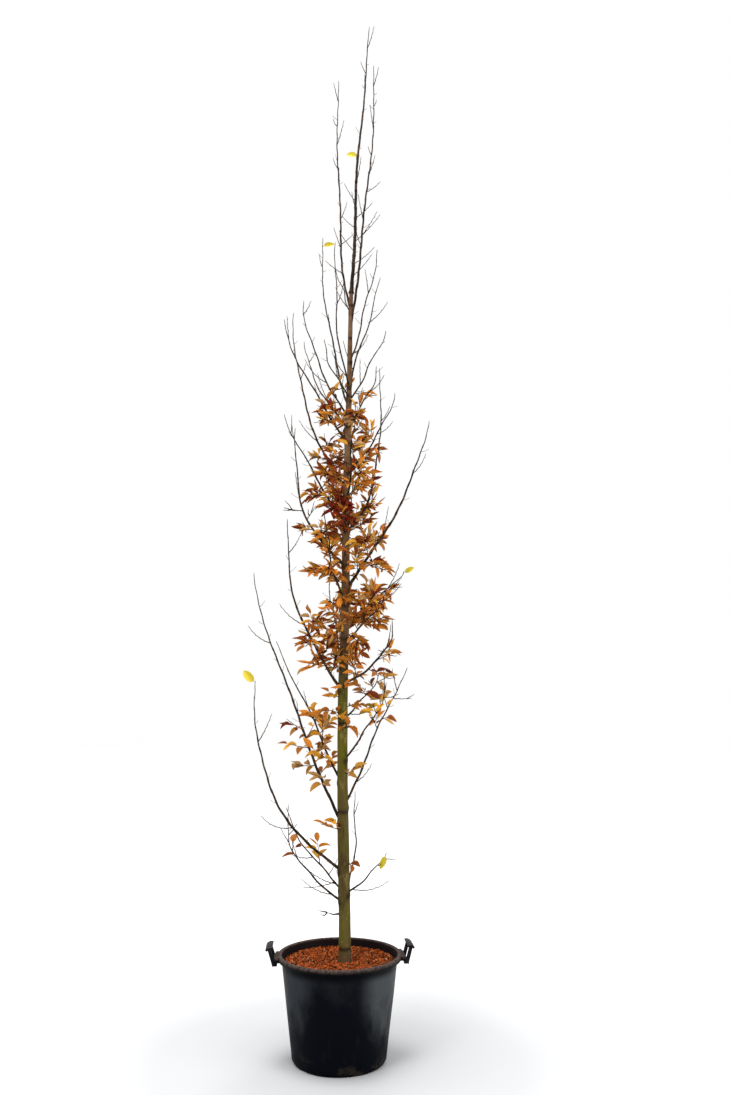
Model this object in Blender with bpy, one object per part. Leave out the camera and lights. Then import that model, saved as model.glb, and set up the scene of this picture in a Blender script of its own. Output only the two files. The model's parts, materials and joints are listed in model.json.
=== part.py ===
# European hornbeam, an upright young tree that keeps its dry autumn leaves, in a round container.
# Metres, +Z up, +X to the right and +Y to the back of the front view.
# The origin is the middle of the container's flat underside.
import math
import random
from collections import namedtuple

import bmesh
import bpy
import numpy as np
from mathutils import Matrix, Vector

GAP = 0.0003

# Container: a tapered vessel with a rolled lip, and notches round its foot
POT_HEIGHT = 0.388
POT_SIDES = 36
FOOT_RADIUS = 0.178
FOOT_CHAMFER = 0.010
WALL_FOOT_RADIUS = 0.1835
WALL_TOP_RADIUS = 0.2280
WALL = 0.0035
FLOOR = 0.005
HEEL_HEIGHT = 0.030
HEEL_INSET = 0.016
LIP_RADIUS = 0.244
LIP_DEPTH = 0.020
LIP_WIDTH = 0.0155
LIP_CORNER = 0.005
LIP_STEPS = (2, 3)
NOTCH_COUNT = 12
NOTCH_SIZE = (0.010, 0.024, 0.020)
SOIL_BELOW_LIP = 0.030

# Handles: two lugs on the lip, each with two legs that lean out and a broad arched grip
HANDLE_TURN = 3.5
HANDLE_TOP = 0.428
HANDLE_ROOT = 0.366
HANDLE_ROOT_RADIUS = 0.251
HANDLE_TOP_RADIUS = 0.277
LEG_SPACING = 0.084
LEG_SIZE = (0.011, 0.016)
GRIP_LENGTH = 0.106
GRIP_WIDTH = 0.038
GRIP_RISE = 0.010
GRIP_THICKNESS = 0.006
GRIP_STEPS = (5, 3)
LUG_SIZE = (0.014, 0.112, 0.016)

# Trunk: height above the floor, offset right, offset back, radius
TRUNK_SIDES = 10
TRUNK_STEP = 0.19
TRUNK = (
    (0.358, 0.0210, 0.000, 0.0262),
    (0.430, 0.0205, 0.000, 0.0245),
    (0.740, 0.0142, 0.004, 0.0232),
    (1.050, 0.0085, 0.006, 0.0216),
    (1.370, 0.0080, 0.002, 0.0204),
    (1.790, 0.0180, -0.004, 0.0180),
    (2.220, 0.0190, -0.006, 0.0154),
    (2.480, 0.0255, -0.003, 0.0136),
    (2.660, 0.0300, 0.001, 0.0120),
    (2.920, 0.0335, 0.004, 0.0104),
    (3.160, 0.0385, 0.003, 0.0086),
)

# Limbs: where each leaves the trunk, how far its tip reaches right, back and up, how early it
# bends upright, its radius at the foot, how much of it is a bare bough, and from what length to
# what length it carries leaves. A limb with no bough is one twiggy mass that starts at the trunk.
Limb = namedtuple("Limb", "name height right back rise bend radius bough leaf_from leaf_to")
LIMBS = (
    Limb("01", 0.556, 0.04, 0.18, 0.43, 3.50, 0.0044, 0.00, 0.00, 0.00),
    Limb("02", 0.578, -0.22, -0.10, 0.32, 2.15, 0.0046, 0.00, 0.22, 0.34),
    Limb("03", 0.604, 0.165, -0.12, 0.18, 1.30, 0.0040, 0.00, 0.20, 0.25),
    Limb("04", 0.612, -0.245, 0.14, 0.31, 1.45, 0.0044, 0.00, 0.05, 0.14),
    Limb("05", 0.694, -0.355, -0.12, 0.75, 2.95, 0.0060, 0.22, 0.06, 0.12),
    Limb("06", 0.866, -0.390, 0.06, 1.04, 1.25, 0.0066, 0.14, 0.16, 0.42),
    Limb("07", 0.934, 0.27, 0.10, 0.57, 0.96, 0.0054, 0.16, 0.36, 0.50),
    Limb("08", 1.032, -0.295, 0.17, 0.59, 1.02, 0.0051, 0.14, 0.04, 0.30),
    Limb("09", 1.126, 0.175, -0.16, 0.31, 1.55, 0.0044, 0.00, 0.24, 0.34),
    Limb("10", 1.289, 0.155, 0.18, 0.20, 1.40, 0.0042, 0.00, 0.16, 0.27),
    Limb("11", 1.405, -0.23, -0.12, 0.70, 2.35, 0.0062, 0.08, 0.00, 0.26),
    Limb("12", 1.436, 0.20, -0.15, 0.25, 2.70, 0.0053, 0.00, 0.00, 0.18),
    Limb("13", 1.510, -0.07, 0.26, 0.42, 1.70, 0.0051, 0.00, 0.00, 0.30),
    Limb("14", 1.608, 0.17, -0.18, 0.20, 1.55, 0.0044, 0.00, 0.00, 0.20),
    Limb("15", 1.696, 0.255, 0.14, 0.23, 1.25, 0.0050, 0.00, 0.00, 0.22),
    Limb("16", 1.760, -0.08, -0.24, 0.36, 1.70, 0.0050, 0.00, 0.00, 0.28),
    Limb("17", 1.824, 0.35, -0.12, 0.70, 1.45, 0.0070, 0.09, 0.00, 0.25),
    Limb("18", 1.925, -0.21, -0.15, 0.56, 3.30, 0.0054, 0.08, 0.00, 0.26),
    Limb("19", 2.000, 0.03, 0.25, 0.40, 1.80, 0.0050, 0.00, 0.00, 0.24),
    Limb("20", 2.074, 0.15, 0.19, 0.80, 4.50, 0.0054, 0.07, 0.00, 0.24),
    Limb("21", 2.114, -0.28, 0.13, 0.52, 1.20, 0.0053, 0.09, 0.00, 0.20),
    Limb("22", 2.190, 0.04, -0.23, 0.38, 1.80, 0.0046, 0.00, 0.00, 0.26),
    Limb("23", 2.257, -0.25, 0.15, 0.87, 2.10, 0.0058, 0.07, 0.00, 0.22),
    Limb("24", 2.333, 0.21, 0.07, 0.38, 1.50, 0.0047, 0.00, 0.00, 0.20),
    Limb("25", 2.467, -0.28, -0.03, 0.55, 1.40, 0.0050, 0.09, 0.00, 0.17),
    Limb("26", 2.529, -0.21, 0.20, 0.48, 1.50, 0.0044, 0.00, 0.00, 0.15),
    Limb("27", 2.543, 0.12, -0.18, 0.20, 1.90, 0.0039, 0.00, 0.00, 0.15),
    Limb("28", 2.585, -0.19, -0.16, 0.46, 1.90, 0.0044, 0.09, 0.00, 0.12),
    Limb("29", 2.626, -0.13, 0.19, 0.90, 2.00, 0.0050, 0.07, 0.00, 0.11),
    Limb("30", 2.656, 0.16, -0.10, 0.28, 1.20, 0.0040, 0.00, 0.00, 0.06),
    Limb("31", 2.676, -0.10, -0.20, 0.18, 2.10, 0.0035, 0.00, 0.00, 0.06),
    Limb("32", 2.720, -0.06, -0.17, 0.59, 3.30, 0.0039, 0.00, 0.00, 0.00),
    Limb("33", 2.735, 0.14, 0.17, 0.58, 1.05, 0.0044, 0.10, 0.00, 0.00),
    Limb("34", 2.831, 0.12, -0.14, 0.46, 1.35, 0.0040, 0.00, 0.00, 0.00),
    Limb("35", 3.064, -0.07, 0.10, 0.26, 1.10, 0.0032, 0.00, 0.00, 0.00),
)
LEADERS = (
    Limb("middle", 3.160, 0.083, -0.003, 1.33, 0.80, 0.0086, 0.30, 0.00, 0.00),
    Limb("left", 3.085, -0.062, 0.060, 1.17, 4.60, 0.0054, 0.26, 0.00, 0.00),
    Limb("right", 3.010, 0.105, -0.050, 1.24, 1.90, 0.0060, 0.28, 0.00, 0.00),
)
SWAY = 0.03
SWAY_TURNS = (9, 8)
SWAY_PHASE = 40
TIP_RADIUS = 0.0016
TAPER = 0.9
COLLAR = 0.35
COLLAR_LENGTH = 0.04
HEADING_STEP = 0.01
BOUGH_SIDES = 5
STEM_SIDES = 4
STEM_STEP = 0.12

# Side twigs, which stand on alternate sides of a limb, and the leaves on them
TWIG_SIDES = 3
TWIG_RADIUS = 0.0022
TWIG_TIP_RADIUS = 0.0011
TWIG_SPACING_LEAFY = 0.042
TWIG_SPACING_BARE = 0.33
TWIG_SPACING_LEADER = 0.12
LEAFY_LENGTH = (0.060, 0.105)
LEAFY_NARROWING = (1.3, 0.22)
BARE_LENGTH = (0.090, 0.165)
LEAFY_SLANT = (0.85, 1.25)
LEAFY_RISE = 0.15
BARE_SLANT = (0.45, 0.80)
BARE_RISE = 0.45
TWIG_TURN = 0.9
TWIG_BEND = 0.15
TWIG_SHORTENING = (1.1, 0.5)
TWIG_SAMPLES = 14
TWIG_START = (0.015, 0.04)
TWIG_LAST = 0.95
SPACING_SPREAD = (0.8, 1.2)
TWIG_TRIES = 5
LEAF_SPACING = 0.031
LEAF_LENGTH = (0.068, 0.094)
LEAF_WIDTH = 0.50
LEAF_THICKNESS = 0.0018
LEAF_WIDEST = 0.42
LEAF_THICKEST = 0.26
LEAF_FOLD = 0.45
LEAF_SUNK = 0.0008
LEAF_TURN = 0.8
LEAF_ACROSS = 0.9
LEAF_ALONG = 0.35
LEAF_DROOP = (-0.1, 1.5)
LEAF_FIRST = 0.75
LEAF_LAST = 0.98
LEAF_TRIES = 8

# Room kept for each leaf: shares of its length, and its half width there as shares of the widest
LEAF_STATIONS = (0.2, 0.4, 0.6, 0.8, 1.0)
LEAF_REACH = (0.6, 1.0, 0.9, 0.55, 0.05)
LEAF_ROOM = 0.8
ROOM_STEP = 0.03
CLEARANCE = 0.003
OWN_SHARE = 0.7

FINISHES = {
    "pot": ((0.018, 0.019, 0.021), 0.42),
    "soil": ((0.185, 0.070, 0.028), 0.95),
    "bark": ((0.115, 0.098, 0.040), 0.80),
    "twig": ((0.060, 0.045, 0.034), 0.75),
    "leaf": ((0.420, 0.120, 0.022), 0.60),
}


def clear_scene():
    for thing in list(bpy.data.objects):
        bpy.data.objects.remove(thing, do_unlink=True)


def finish(name, finish_name):
    """A material of the object's own, in one of the named finishes."""
    colour, roughness = FINISHES[finish_name]
    material = bpy.data.materials.new(name)
    material.use_nodes = True
    shader = material.node_tree.nodes["Principled BSDF"]
    shader.inputs["Base Color"].default_value = (*colour, 1)
    shader.inputs["Roughness"].default_value = roughness
    shader.inputs["Metallic"].default_value = 0
    return material


def make_object(name, shape, finish_name):
    """An object of flat triangles, which a Boolean cuts cleanly where bent quads would fold."""
    bmesh.ops.triangulate(shape, faces=shape.faces)
    mesh = bpy.data.meshes.new(name)
    shape.to_mesh(mesh)
    shape.free()
    thing = bpy.data.objects.new(name, mesh)
    mesh.materials.append(finish(name, finish_name))
    bpy.context.scene.collection.objects.link(thing)
    return thing


def shade_round(thing):
    thing.data.shade_smooth()
    thing.data.set_sharp_from_angle(angle=math.radians(35))


def apply_boolean(thing, operation, tools, solver):
    """Cut or join the tools, held in one collection, and return the new mesh."""
    group = bpy.data.collections.new(thing.name + "_tools")
    for tool in tools:
        group.objects.link(tool)
    modifier = thing.modifiers.new("shape", "BOOLEAN")
    modifier.operation = operation
    modifier.operand_type = "COLLECTION"
    modifier.collection = group
    modifier.solver = solver
    bpy.context.view_layer.update()
    graph = bpy.context.evaluated_depsgraph_get()
    mesh = bpy.data.meshes.new_from_object(thing.evaluated_get(graph))
    thing.modifiers.remove(modifier)
    bpy.data.collections.remove(group)
    return mesh


def shells(shape):
    """Groups of faces joined across their edges, the largest first."""
    left = set(shape.faces)
    groups = []
    while left:
        reached = [left.pop()]
        group = []
        while reached:
            face = reached.pop()
            group.append(face)
            for edge in face.edges:
                for other in edge.link_faces:
                    if other in left:
                        left.remove(other)
                        reached.append(other)
        groups.append(group)
    return sorted(groups, key=len, reverse=True)


def tidy(mesh):
    """Keep the largest shell, so that scrap is dropped and sealed hollows are filled."""
    shape = bmesh.new()
    shape.from_mesh(mesh)
    scrap = [face for group in shells(shape)[1:] for face in group]
    bmesh.ops.delete(shape, geom=scrap, context="FACES")
    closed = len(shape.faces) > 3 and all(len(edge.link_faces) == 2 for edge in shape.edges)
    shape.to_mesh(mesh)
    shape.free()
    return closed


def combine(thing, operation, tools):
    """Boolean with the exact solver, or the manifold one where that leaves it open."""
    for solver in ("EXACT", "MANIFOLD"):
        mesh = apply_boolean(thing, operation, tools, solver)
        if tidy(mesh):
            break
    thing.data = mesh


def remove_all(things):
    for thing in things:
        bpy.data.objects.remove(thing, do_unlink=True)


def arc(centre, radius, start, end, steps):
    """Points of an arc in the radius and height plane, angles in degrees."""
    angles = (math.radians(start + (end - start) * i / steps) for i in range(steps + 1))
    return [(centre[0] + radius * math.cos(a), centre[1] + radius * math.sin(a)) for a in angles]


def turned(profile, sides):
    """A shape turned about Z from points of radius and height."""
    shape = bmesh.new()
    verts = [shape.verts.new((radius, 0, height)) for radius, height in profile]
    edges = [shape.edges.new(pair) for pair in zip(verts, verts[1:])]
    bmesh.ops.spin(shape, geom=verts + edges, cent=(0, 0, 0), axis=(0, 0, 1),
                   angle=math.tau, steps=sides, use_merge=True)
    bmesh.ops.remove_doubles(shape, verts=shape.verts, dist=1e-6)
    bmesh.ops.recalc_face_normals(shape, faces=shape.faces)
    return shape


def block(size, matrix):
    shape = bmesh.new()
    bmesh.ops.create_cube(shape, size=1, matrix=matrix @ Matrix.Diagonal((*size, 1)))
    return shape


def wall_radius(height):
    share = (height - FOOT_CHAMFER) / (POT_HEIGHT - LIP_DEPTH - FOOT_CHAMFER)
    return WALL_FOOT_RADIUS + (WALL_TOP_RADIUS - WALL_FOOT_RADIUS) * share


def outer_profile(offset):
    """The container's outside from its foot to the top of its lip."""
    under_lip = POT_HEIGHT - LIP_DEPTH
    low = (LIP_RADIUS - LIP_CORNER, under_lip + LIP_CORNER)
    high = (LIP_RADIUS - LIP_CORNER, POT_HEIGHT - LIP_CORNER)
    corner = LIP_CORNER + offset
    return [(FOOT_RADIUS + offset, -offset), (WALL_FOOT_RADIUS + offset, FOOT_CHAMFER),
            (wall_radius(under_lip) + offset, under_lip - offset)] \
        + arc(low, corner, -90, 0, LIP_STEPS[0]) + arc(high, corner, 0, 90, LIP_STEPS[1])


def inner_profile(top, inset):
    """The container's inside from the middle of its floor up to a height."""
    heel = wall_radius(HEEL_HEIGHT) - WALL - inset
    return [(0, FLOOR + inset), (heel - HEEL_INSET, FLOOR + inset), (heel, HEEL_HEIGHT),
            (wall_radius(top) - WALL - inset, top)]


def make_pot():
    inner_lip = (LIP_RADIUS - LIP_WIDTH, POT_HEIGHT - LIP_CORNER)
    inside = inner_profile(POT_HEIGHT - 2 * LIP_CORNER, 0)
    profile = [(0, 0)] + outer_profile(0) + [(inner_lip[0], POT_HEIGHT), inner_lip] + inside[::-1]
    pot = make_object("pot", turned(profile, POT_SIDES), "pot")
    cutters = []
    for index in range(NOTCH_COUNT):
        turn = Matrix.Rotation(math.tau * (index + 0.5) / NOTCH_COUNT, 4, "Z")
        place = turn @ Matrix.Translation((WALL_FOOT_RADIUS, 0, 0))
        cutters.append(make_object("notch", block(NOTCH_SIZE, place), "pot"))
    combine(pot, "DIFFERENCE", cutters)
    remove_all(cutters)
    shade_round(pot)


def make_soil():
    top = POT_HEIGHT - SOIL_BELOW_LIP
    soil = make_object("soil", turned(inner_profile(top, GAP) + [(0, top)], POT_SIDES), "soil")
    shade_round(soil)


def make_handle(name, side):
    """One handle, drawn at the right and turned to its side of the container."""
    lean = Vector((HANDLE_TOP_RADIUS - HANDLE_ROOT_RADIUS, 0, HANDLE_TOP - HANDLE_ROOT))
    tilt = Matrix.Rotation(math.atan2(lean.x, lean.z), 4, "Y")
    leg_height = lean.length - GRIP_THICKNESS
    pieces = []
    for end in (-1, 1):
        foot = Vector((HANDLE_ROOT_RADIUS, end * LEG_SPACING / 2, HANDLE_ROOT))
        place = Matrix.Translation(foot) @ tilt @ Matrix.Translation((0, 0, leg_height / 2))
        pieces.append(block((*LEG_SIZE, leg_height), place))
    lug_centre = (HANDLE_ROOT_RADIUS - LEG_SIZE[0] / 2, 0, HANDLE_ROOT + LUG_SIZE[2] / 2)
    lug_place = Matrix.Translation(lug_centre)
    pieces.append(block(LUG_SIZE, lug_place))
    bend = (GRIP_WIDTH ** 2 / 4 + GRIP_RISE ** 2) / (2 * GRIP_RISE)
    half_angle = math.degrees(math.asin(GRIP_WIDTH / 2 / bend))
    left, right = 90 + half_angle, 90 - half_angle
    outer = arc((0, -bend), bend, left, right, GRIP_STEPS[0])
    inner = arc((0, -bend), bend - GRIP_THICKNESS, right, left, GRIP_STEPS[1])
    grip = bmesh.new()
    outline = [grip.verts.new((x, -GRIP_LENGTH / 2, z)) for x, z in outer + inner]
    side_face = grip.faces.new(outline)
    swept = bmesh.ops.extrude_face_region(grip, geom=[side_face])["geom"]
    far = [item for item in swept if isinstance(item, bmesh.types.BMVert)]
    bmesh.ops.translate(grip, verts=far, vec=(0, GRIP_LENGTH, 0))
    bmesh.ops.recalc_face_normals(grip, faces=grip.faces)
    top = Vector((HANDLE_TOP_RADIUS, 0, HANDLE_TOP))
    bmesh.ops.transform(grip, verts=grip.verts, matrix=Matrix.Translation(top) @ tilt)
    turn = Matrix.Rotation(math.radians(HANDLE_TURN + (0 if side > 0 else 180)), 4, "Z")
    for piece in pieces + [grip]:
        bmesh.ops.transform(piece, verts=piece.verts, matrix=turn)
    handle = make_object(name, grip, "pot")
    joined = [make_object(name + "_piece", piece, "pot") for piece in pieces]
    combine(handle, "UNION", joined)
    remove_all(joined)
    clear_profile = [(0, -GAP)] + outer_profile(GAP) + [(0, POT_HEIGHT + GAP)]
    cutter = make_object(name + "_clear", turned(clear_profile, POT_SIDES), "pot")
    combine(handle, "DIFFERENCE", [cutter])
    remove_all([cutter])


def trunk_at(height):
    """Centre and radius of the trunk at a height, on a smooth curve through its stations."""
    rows = np.array(TRUNK)
    slopes = np.gradient(rows[:, 1:], rows[:, 0], axis=0)
    index = min(max(int(np.searchsorted(rows[:, 0], height)) - 1, 0), len(rows) - 2)
    span = rows[index + 1, 0] - rows[index, 0]
    s = (height - rows[index, 0]) / span
    value = ((1 + 2 * s) * (1 - s) ** 2 * rows[index, 1:] + s * (1 - s) ** 2 * span * slopes[index]
             + s * s * (3 - 2 * s) * rows[index + 1, 1:] + s * s * (s - 1) * span * slopes[index + 1])
    return Vector((value[0], value[1], height)), float(value[2])


def limb_at(limb, t):
    """Point of a limb's centre line, from 0 at the trunk to 1 at its tip."""
    spread = 1 - max(1 - t, 0) ** limb.bend
    phase = SWAY_PHASE * limb.height
    sway = SWAY * t * (1 - t)
    return trunk_at(limb.height)[0] + Vector((
        limb.right * spread + sway * math.sin(SWAY_TURNS[0] * t + phase),
        limb.back * spread + sway * math.cos(SWAY_TURNS[1] * t + phase),
        limb.rise * t))


def limb_heading(limb, t):
    ahead = limb_at(limb, min(t + HEADING_STEP, 1))
    return (ahead - limb_at(limb, max(t - HEADING_STEP, 0))).normalized()


def limb_radius(limb, t):
    collar = 1 + COLLAR * max(0, 1 - t * limb_length(limb) / COLLAR_LENGTH)
    return (TIP_RADIUS + (limb.radius - TIP_RADIUS) * max(1 - t, 0) ** TAPER) * collar


def limb_length(limb):
    return math.hypot(limb.right, limb.back, limb.rise)


def tube(points, headings, radii, sides):
    """A closed tapering limb: a disc carried along the points by extrusion."""
    shape = bmesh.new()
    disc = bmesh.ops.create_circle(shape, cap_ends=True, segments=sides, radius=1)["verts"]
    ring = [vert.co.copy() for vert in disc]
    frames = [Matrix.Translation(point) @ heading.to_track_quat("Z", "Y").to_matrix().to_4x4()
              @ Matrix.Diagonal((radius, radius, 1, 1))
              for point, heading, radius in zip(points, headings, radii)]
    for vert, place in zip(disc, ring):
        vert.co = frames[0] @ place
    cap = foot = shape.faces[:][0]
    for frame in frames[1:]:
        swept = bmesh.ops.extrude_face_region(shape, geom=[cap])["geom"]
        if cap is not foot:
            bmesh.ops.delete(shape, geom=[cap], context="FACES_ONLY")
        cap = next(item for item in swept if isinstance(item, bmesh.types.BMFace))
        for vert, place in zip(cap.verts, ring):
            vert.co = frame @ place
    bmesh.ops.recalc_face_normals(shape, faces=shape.faces)
    return shape


def even_shares(start, end, length, step):
    count = max(2, round((end - start) * length / step))
    return [start + (end - start) * i / count for i in range(count + 1)]


def stem_at(limb, t):
    """Point on the straight runs that a limb's mass is built from."""
    shares = even_shares(limb.bough, 1, limb_length(limb), STEM_STEP)
    index = min(int((t - limb.bough) / (shares[1] - shares[0])), len(shares) - 2)
    local = (t - shares[index]) / (shares[1] - shares[0])
    return limb_at(limb, shares[index]).lerp(limb_at(limb, shares[index + 1]), local)


def limb_tube(limb, start, end, sides, flat_start=False):
    shares = even_shares(start, end, limb_length(limb), STEM_STEP)
    points = [limb_at(limb, t) for t in shares]
    headings = [limb_heading(limb, t) for t in shares]
    if start > 0:
        points[0] = points[0] + headings[0] * GAP
    if flat_start:
        headings[0] = Vector((0, 0, 1))
        points[0] = points[0] + Vector((0, 0, GAP))
    return tube(points, headings, [limb_radius(limb, t) for t in shares], sides)


def trunk_shape(grow):
    heights = even_shares(TRUNK[0][0] + GAP, TRUNK[-1][0], 1, TRUNK_STEP)
    heights.insert(1, TRUNK[1][0])
    stations = [trunk_at(height) for height in heights]
    upright = [Vector((0, 0, 1))] * len(stations)
    return tube([centre for centre, _ in stations], upright,
                [radius + grow for _, radius in stations], TRUNK_SIDES)


class Room:
    """Space taken so far, as thick lines that each belong to one node."""

    def __init__(self):
        self.starts, self.ends, self.radii, self.owners = [], [], [], []

    def take(self, start, end, radius, owner):
        self.starts.append(tuple(start))
        self.ends.append(tuple(end))
        self.radii.append(radius)
        self.owners.append(owner)

    def distances(self, points):
        """Free distance from each point to each line taken."""
        starts, ends = np.array(self.starts), np.array(self.ends)
        run = ends - starts
        offset = np.array(points)[:, None, :] - starts[None]
        share = np.clip((offset * run).sum(2) / np.maximum((run * run).sum(1), 1e-12), 0, 1)
        return np.linalg.norm(offset - share[..., None] * run, axis=2) - np.array(self.radii)

    def is_free(self, points, radii, owner, own_share=None):
        """True where thick points clear other nodes, and past the root their own node too."""
        radii = np.array(radii)[:, None]
        distances = self.distances(points)
        own = np.array([name == owner for name in self.owners])
        if (distances[:, ~own] - radii < CLEARANCE).any():
            return False
        return own_share is None or bool((distances[1:, own] > radii[1:] * own_share).all())


def turned_across(rng, heading, order, spread, phase=0):
    """A direction square to a heading, on the opposite side from the one before it."""
    across = heading.orthogonal().normalized()
    across.rotate(Matrix.Rotation(math.pi * order + rng.uniform(-spread, spread) + phase, 3, heading))
    return across


def twig_points(rng, limb, t, order, leafy):
    """A side twig's three points: it leaves at a slant and bends upright."""
    heading = limb_heading(limb, t)
    across = turned_across(rng, heading, order, TWIG_TURN, SWAY_PHASE * limb.height)
    slant = rng.uniform(*(LEAFY_SLANT if leafy else BARE_SLANT))
    rise = LEAFY_RISE if leafy else BARE_RISE
    shortening = TWIG_SHORTENING[0] - TWIG_SHORTENING[1] * t
    if leafy:
        shortening *= LEAFY_NARROWING[0] - LEAFY_NARROWING[1] * limb.height
    length = rng.uniform(*(LEAFY_LENGTH if leafy else BARE_LENGTH)) * shortening
    root = stem_at(limb, t)
    first = (heading * math.cos(slant) + across * math.sin(slant)).normalized()
    sideways = across * rng.uniform(-TWIG_BEND, TWIG_BEND)
    second = (first + Vector((0, 0, rise)) + sideways).normalized()
    middle = root + first * length / 2
    return [root, middle, middle + second * length / 2]


def point_on(points, share):
    """Point and heading at a share of a three-point twig."""
    index = 0 if share < 0.5 else 1
    local = share * 2 - index
    run = points[index + 1] - points[index]
    return points[index] + run * local, run.normalized()


def leaf_place(rng, root, heading, order):
    """A frame whose X runs from the leaf's root to its tip, and whose Z stands off its face."""
    across = turned_across(rng, heading, order, LEAF_TURN)
    droop = Vector((0, 0, -1)) * rng.uniform(*LEAF_DROOP)
    along = (across * LEAF_ACROSS + heading * LEAF_ALONG + droop).normalized()
    face = turned_across(rng, along, 0, math.pi)
    side = face.cross(along)
    return Matrix.Translation(root) @ Matrix((along, side, face)).transposed().to_4x4()


def leaf_samples(place, length):
    """Thick points along a leaf, for keeping its space clear."""
    half_width = length * LEAF_WIDTH / 2
    points = [place @ Vector((length * share, 0, 0)) for share in LEAF_STATIONS]
    return points, [half_width * share for share in LEAF_REACH]


def leaf_shape(place, length):
    """A folded blade of eight faces, its root sunk in the twig."""
    shape = bmesh.new()
    bmesh.ops.create_uvsphere(shape, u_segments=4, v_segments=2, radius=1)
    width = length * LEAF_WIDTH / 2
    for vert in shape.verts:
        x, y, z = vert.co
        share = LEAF_WIDEST * abs(y) + LEAF_THICKEST * abs(z) + max(x, 0)
        fold = abs(y) * width * LEAF_FOLD
        vert.co = place @ Vector((length * share - LEAF_SUNK, y * width, z * LEAF_THICKNESS / 2 + fold))
    return shape


def stem_room(room, limb, owner, start, end):
    shares = even_shares(start, end, limb_length(limb), ROOM_STEP)
    for first, second in zip(shares, shares[1:]):
        room.take(limb_at(limb, first), limb_at(limb, second), limb_radius(limb, first), owner)


def grow_twigs(room, limb, owner, bare_spacing):
    """Side twigs by the seeded rule: alternate sides, closer together among the leaves."""
    rng = random.Random(round(limb.height * 1000))
    length = limb_length(limb)
    twigs = []
    travelled = max(limb.bough * length + TWIG_START[0], TWIG_START[1])
    order = 0
    while travelled < length * TWIG_LAST:
        t = travelled / length
        leafy = limb.leaf_from <= travelled < limb.leaf_to
        for _ in range(TWIG_TRIES):
            points = twig_points(rng, limb, t, order, leafy)
            samples = [point_on(points, share)[0] for share in np.linspace(0.1, 1, TWIG_SAMPLES)]
            if room.is_free(samples, [TWIG_RADIUS] * len(samples), owner):
                twigs.append((points, leafy))
                for first, second in zip(points, points[1:]):
                    room.take(first, second, TWIG_RADIUS, owner)
                break
        spacing = TWIG_SPACING_LEAFY if leafy else bare_spacing
        reached = travelled + spacing * rng.uniform(*SPACING_SPREAD)
        travelled = limb.leaf_from if travelled < limb.leaf_from < reached else reached
        order += 1
    return twigs


def grow_leaves(room, limb, owner, twigs):
    """Leaves on alternate sides of each leafy twig, where there is room for them."""
    rng = random.Random(round(limb.height * 1000) + 7)
    leaves = []
    for points, leafy in twigs:
        length = (points[1] - points[0]).length * 2
        count = max(1, round(length / LEAF_SPACING)) if leafy else 0
        for order in range(count):
            root, heading = point_on(points, min((order + LEAF_FIRST) / count, LEAF_LAST))
            for _ in range(LEAF_TRIES):
                size = rng.uniform(*LEAF_LENGTH)
                place = leaf_place(rng, root, heading, order)
                samples, radii = leaf_samples(place, size)
                if room.is_free(samples, radii, owner, OWN_SHARE):
                    leaves.append((place, size))
                    for first, second in zip(samples, samples[1:]):
                        room.take(first, second, radii[1] * LEAF_ROOM, owner)
                    break
    return leaves


def make_mass(limb, name, twigs, leaves, cutter):
    """One foliage mass: its stem, side twigs and leaves joined in one solid."""
    stem = make_object(name, limb_tube(limb, limb.bough, 1, STEM_SIDES), "leaf" if leaves else "twig")
    if limb.bough == 0:
        combine(stem, "DIFFERENCE", [cutter])
    tools = []
    for points, _ in twigs:
        first = (points[1] - points[0]).normalized()
        second = (points[2] - points[1]).normalized()
        radii = (TWIG_RADIUS, (TWIG_RADIUS + TWIG_TIP_RADIUS) / 2, TWIG_TIP_RADIUS)
        shape = tube(points, [first, (first + second).normalized(), second], radii, TWIG_SIDES)
        tools.append(make_object(name + "_twig", shape, "twig"))
    for place, size in leaves:
        tools.append(make_object(name + "_leaf", leaf_shape(place, size), "leaf"))
    combine(stem, "UNION", tools)
    remove_all(tools)


def make_tree():
    trunk = make_object("trunk", trunk_shape(0), "bark")
    shade_round(trunk)
    cutter = make_object("trunk_clear", trunk_shape(GAP / math.cos(math.pi / TRUNK_SIDES)), "bark")
    room = Room()
    heights = even_shares(TRUNK[0][0], TRUNK[-1][0], 1, ROOM_STEP)
    for low, high in zip(heights, heights[1:]):
        room.take(trunk_at(low)[0], trunk_at(high)[0], trunk_at(low)[1], "trunk")
    named = [(limb, "bough_" + limb.name, "foliage_" + limb.name, TWIG_SPACING_BARE) for limb in LIMBS]
    named += [(limb, "leader_" + limb.name, "twigs_" + limb.name, TWIG_SPACING_LEADER)
              for limb in LEADERS]
    for limb, bough, mass, _ in named:
        if limb.bough > 0:
            stem_room(room, limb, bough, 0.0, limb.bough)
        stem_room(room, limb, mass, limb.bough, 1.0)
    grown = [(limb, bough, mass, grow_twigs(room, limb, mass, spacing))
             for limb, bough, mass, spacing in named]
    for limb, bough, mass, twigs in grown:
        if limb.bough > 0:
            at_top = limb.name == "middle"
            shape = limb_tube(limb, 0, limb.bough, BOUGH_SIDES, flat_start=at_top)
            thing = make_object(bough, shape, "bark")
            if not at_top:
                combine(thing, "DIFFERENCE", [cutter])
            shade_round(thing)
        make_mass(limb, mass, twigs, grow_leaves(room, limb, mass, twigs), cutter)
    remove_all([cutter])


def main():
    clear_scene()
    make_pot()
    make_soil()
    make_handle("handle_right", 1)
    make_handle("handle_left", -1)
    make_tree()


main()
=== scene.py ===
# European hornbeam, an upright young tree that keeps its dry autumn leaves, in a round container.
# Metres, +Z up, +X to the right and +Y to the back. The middle of the container's underside
# is the origin.
import json
import math
import random
from collections import namedtuple

import bmesh
import bpy
import numpy as np
from mathutils import Matrix, Vector, noise

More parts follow.
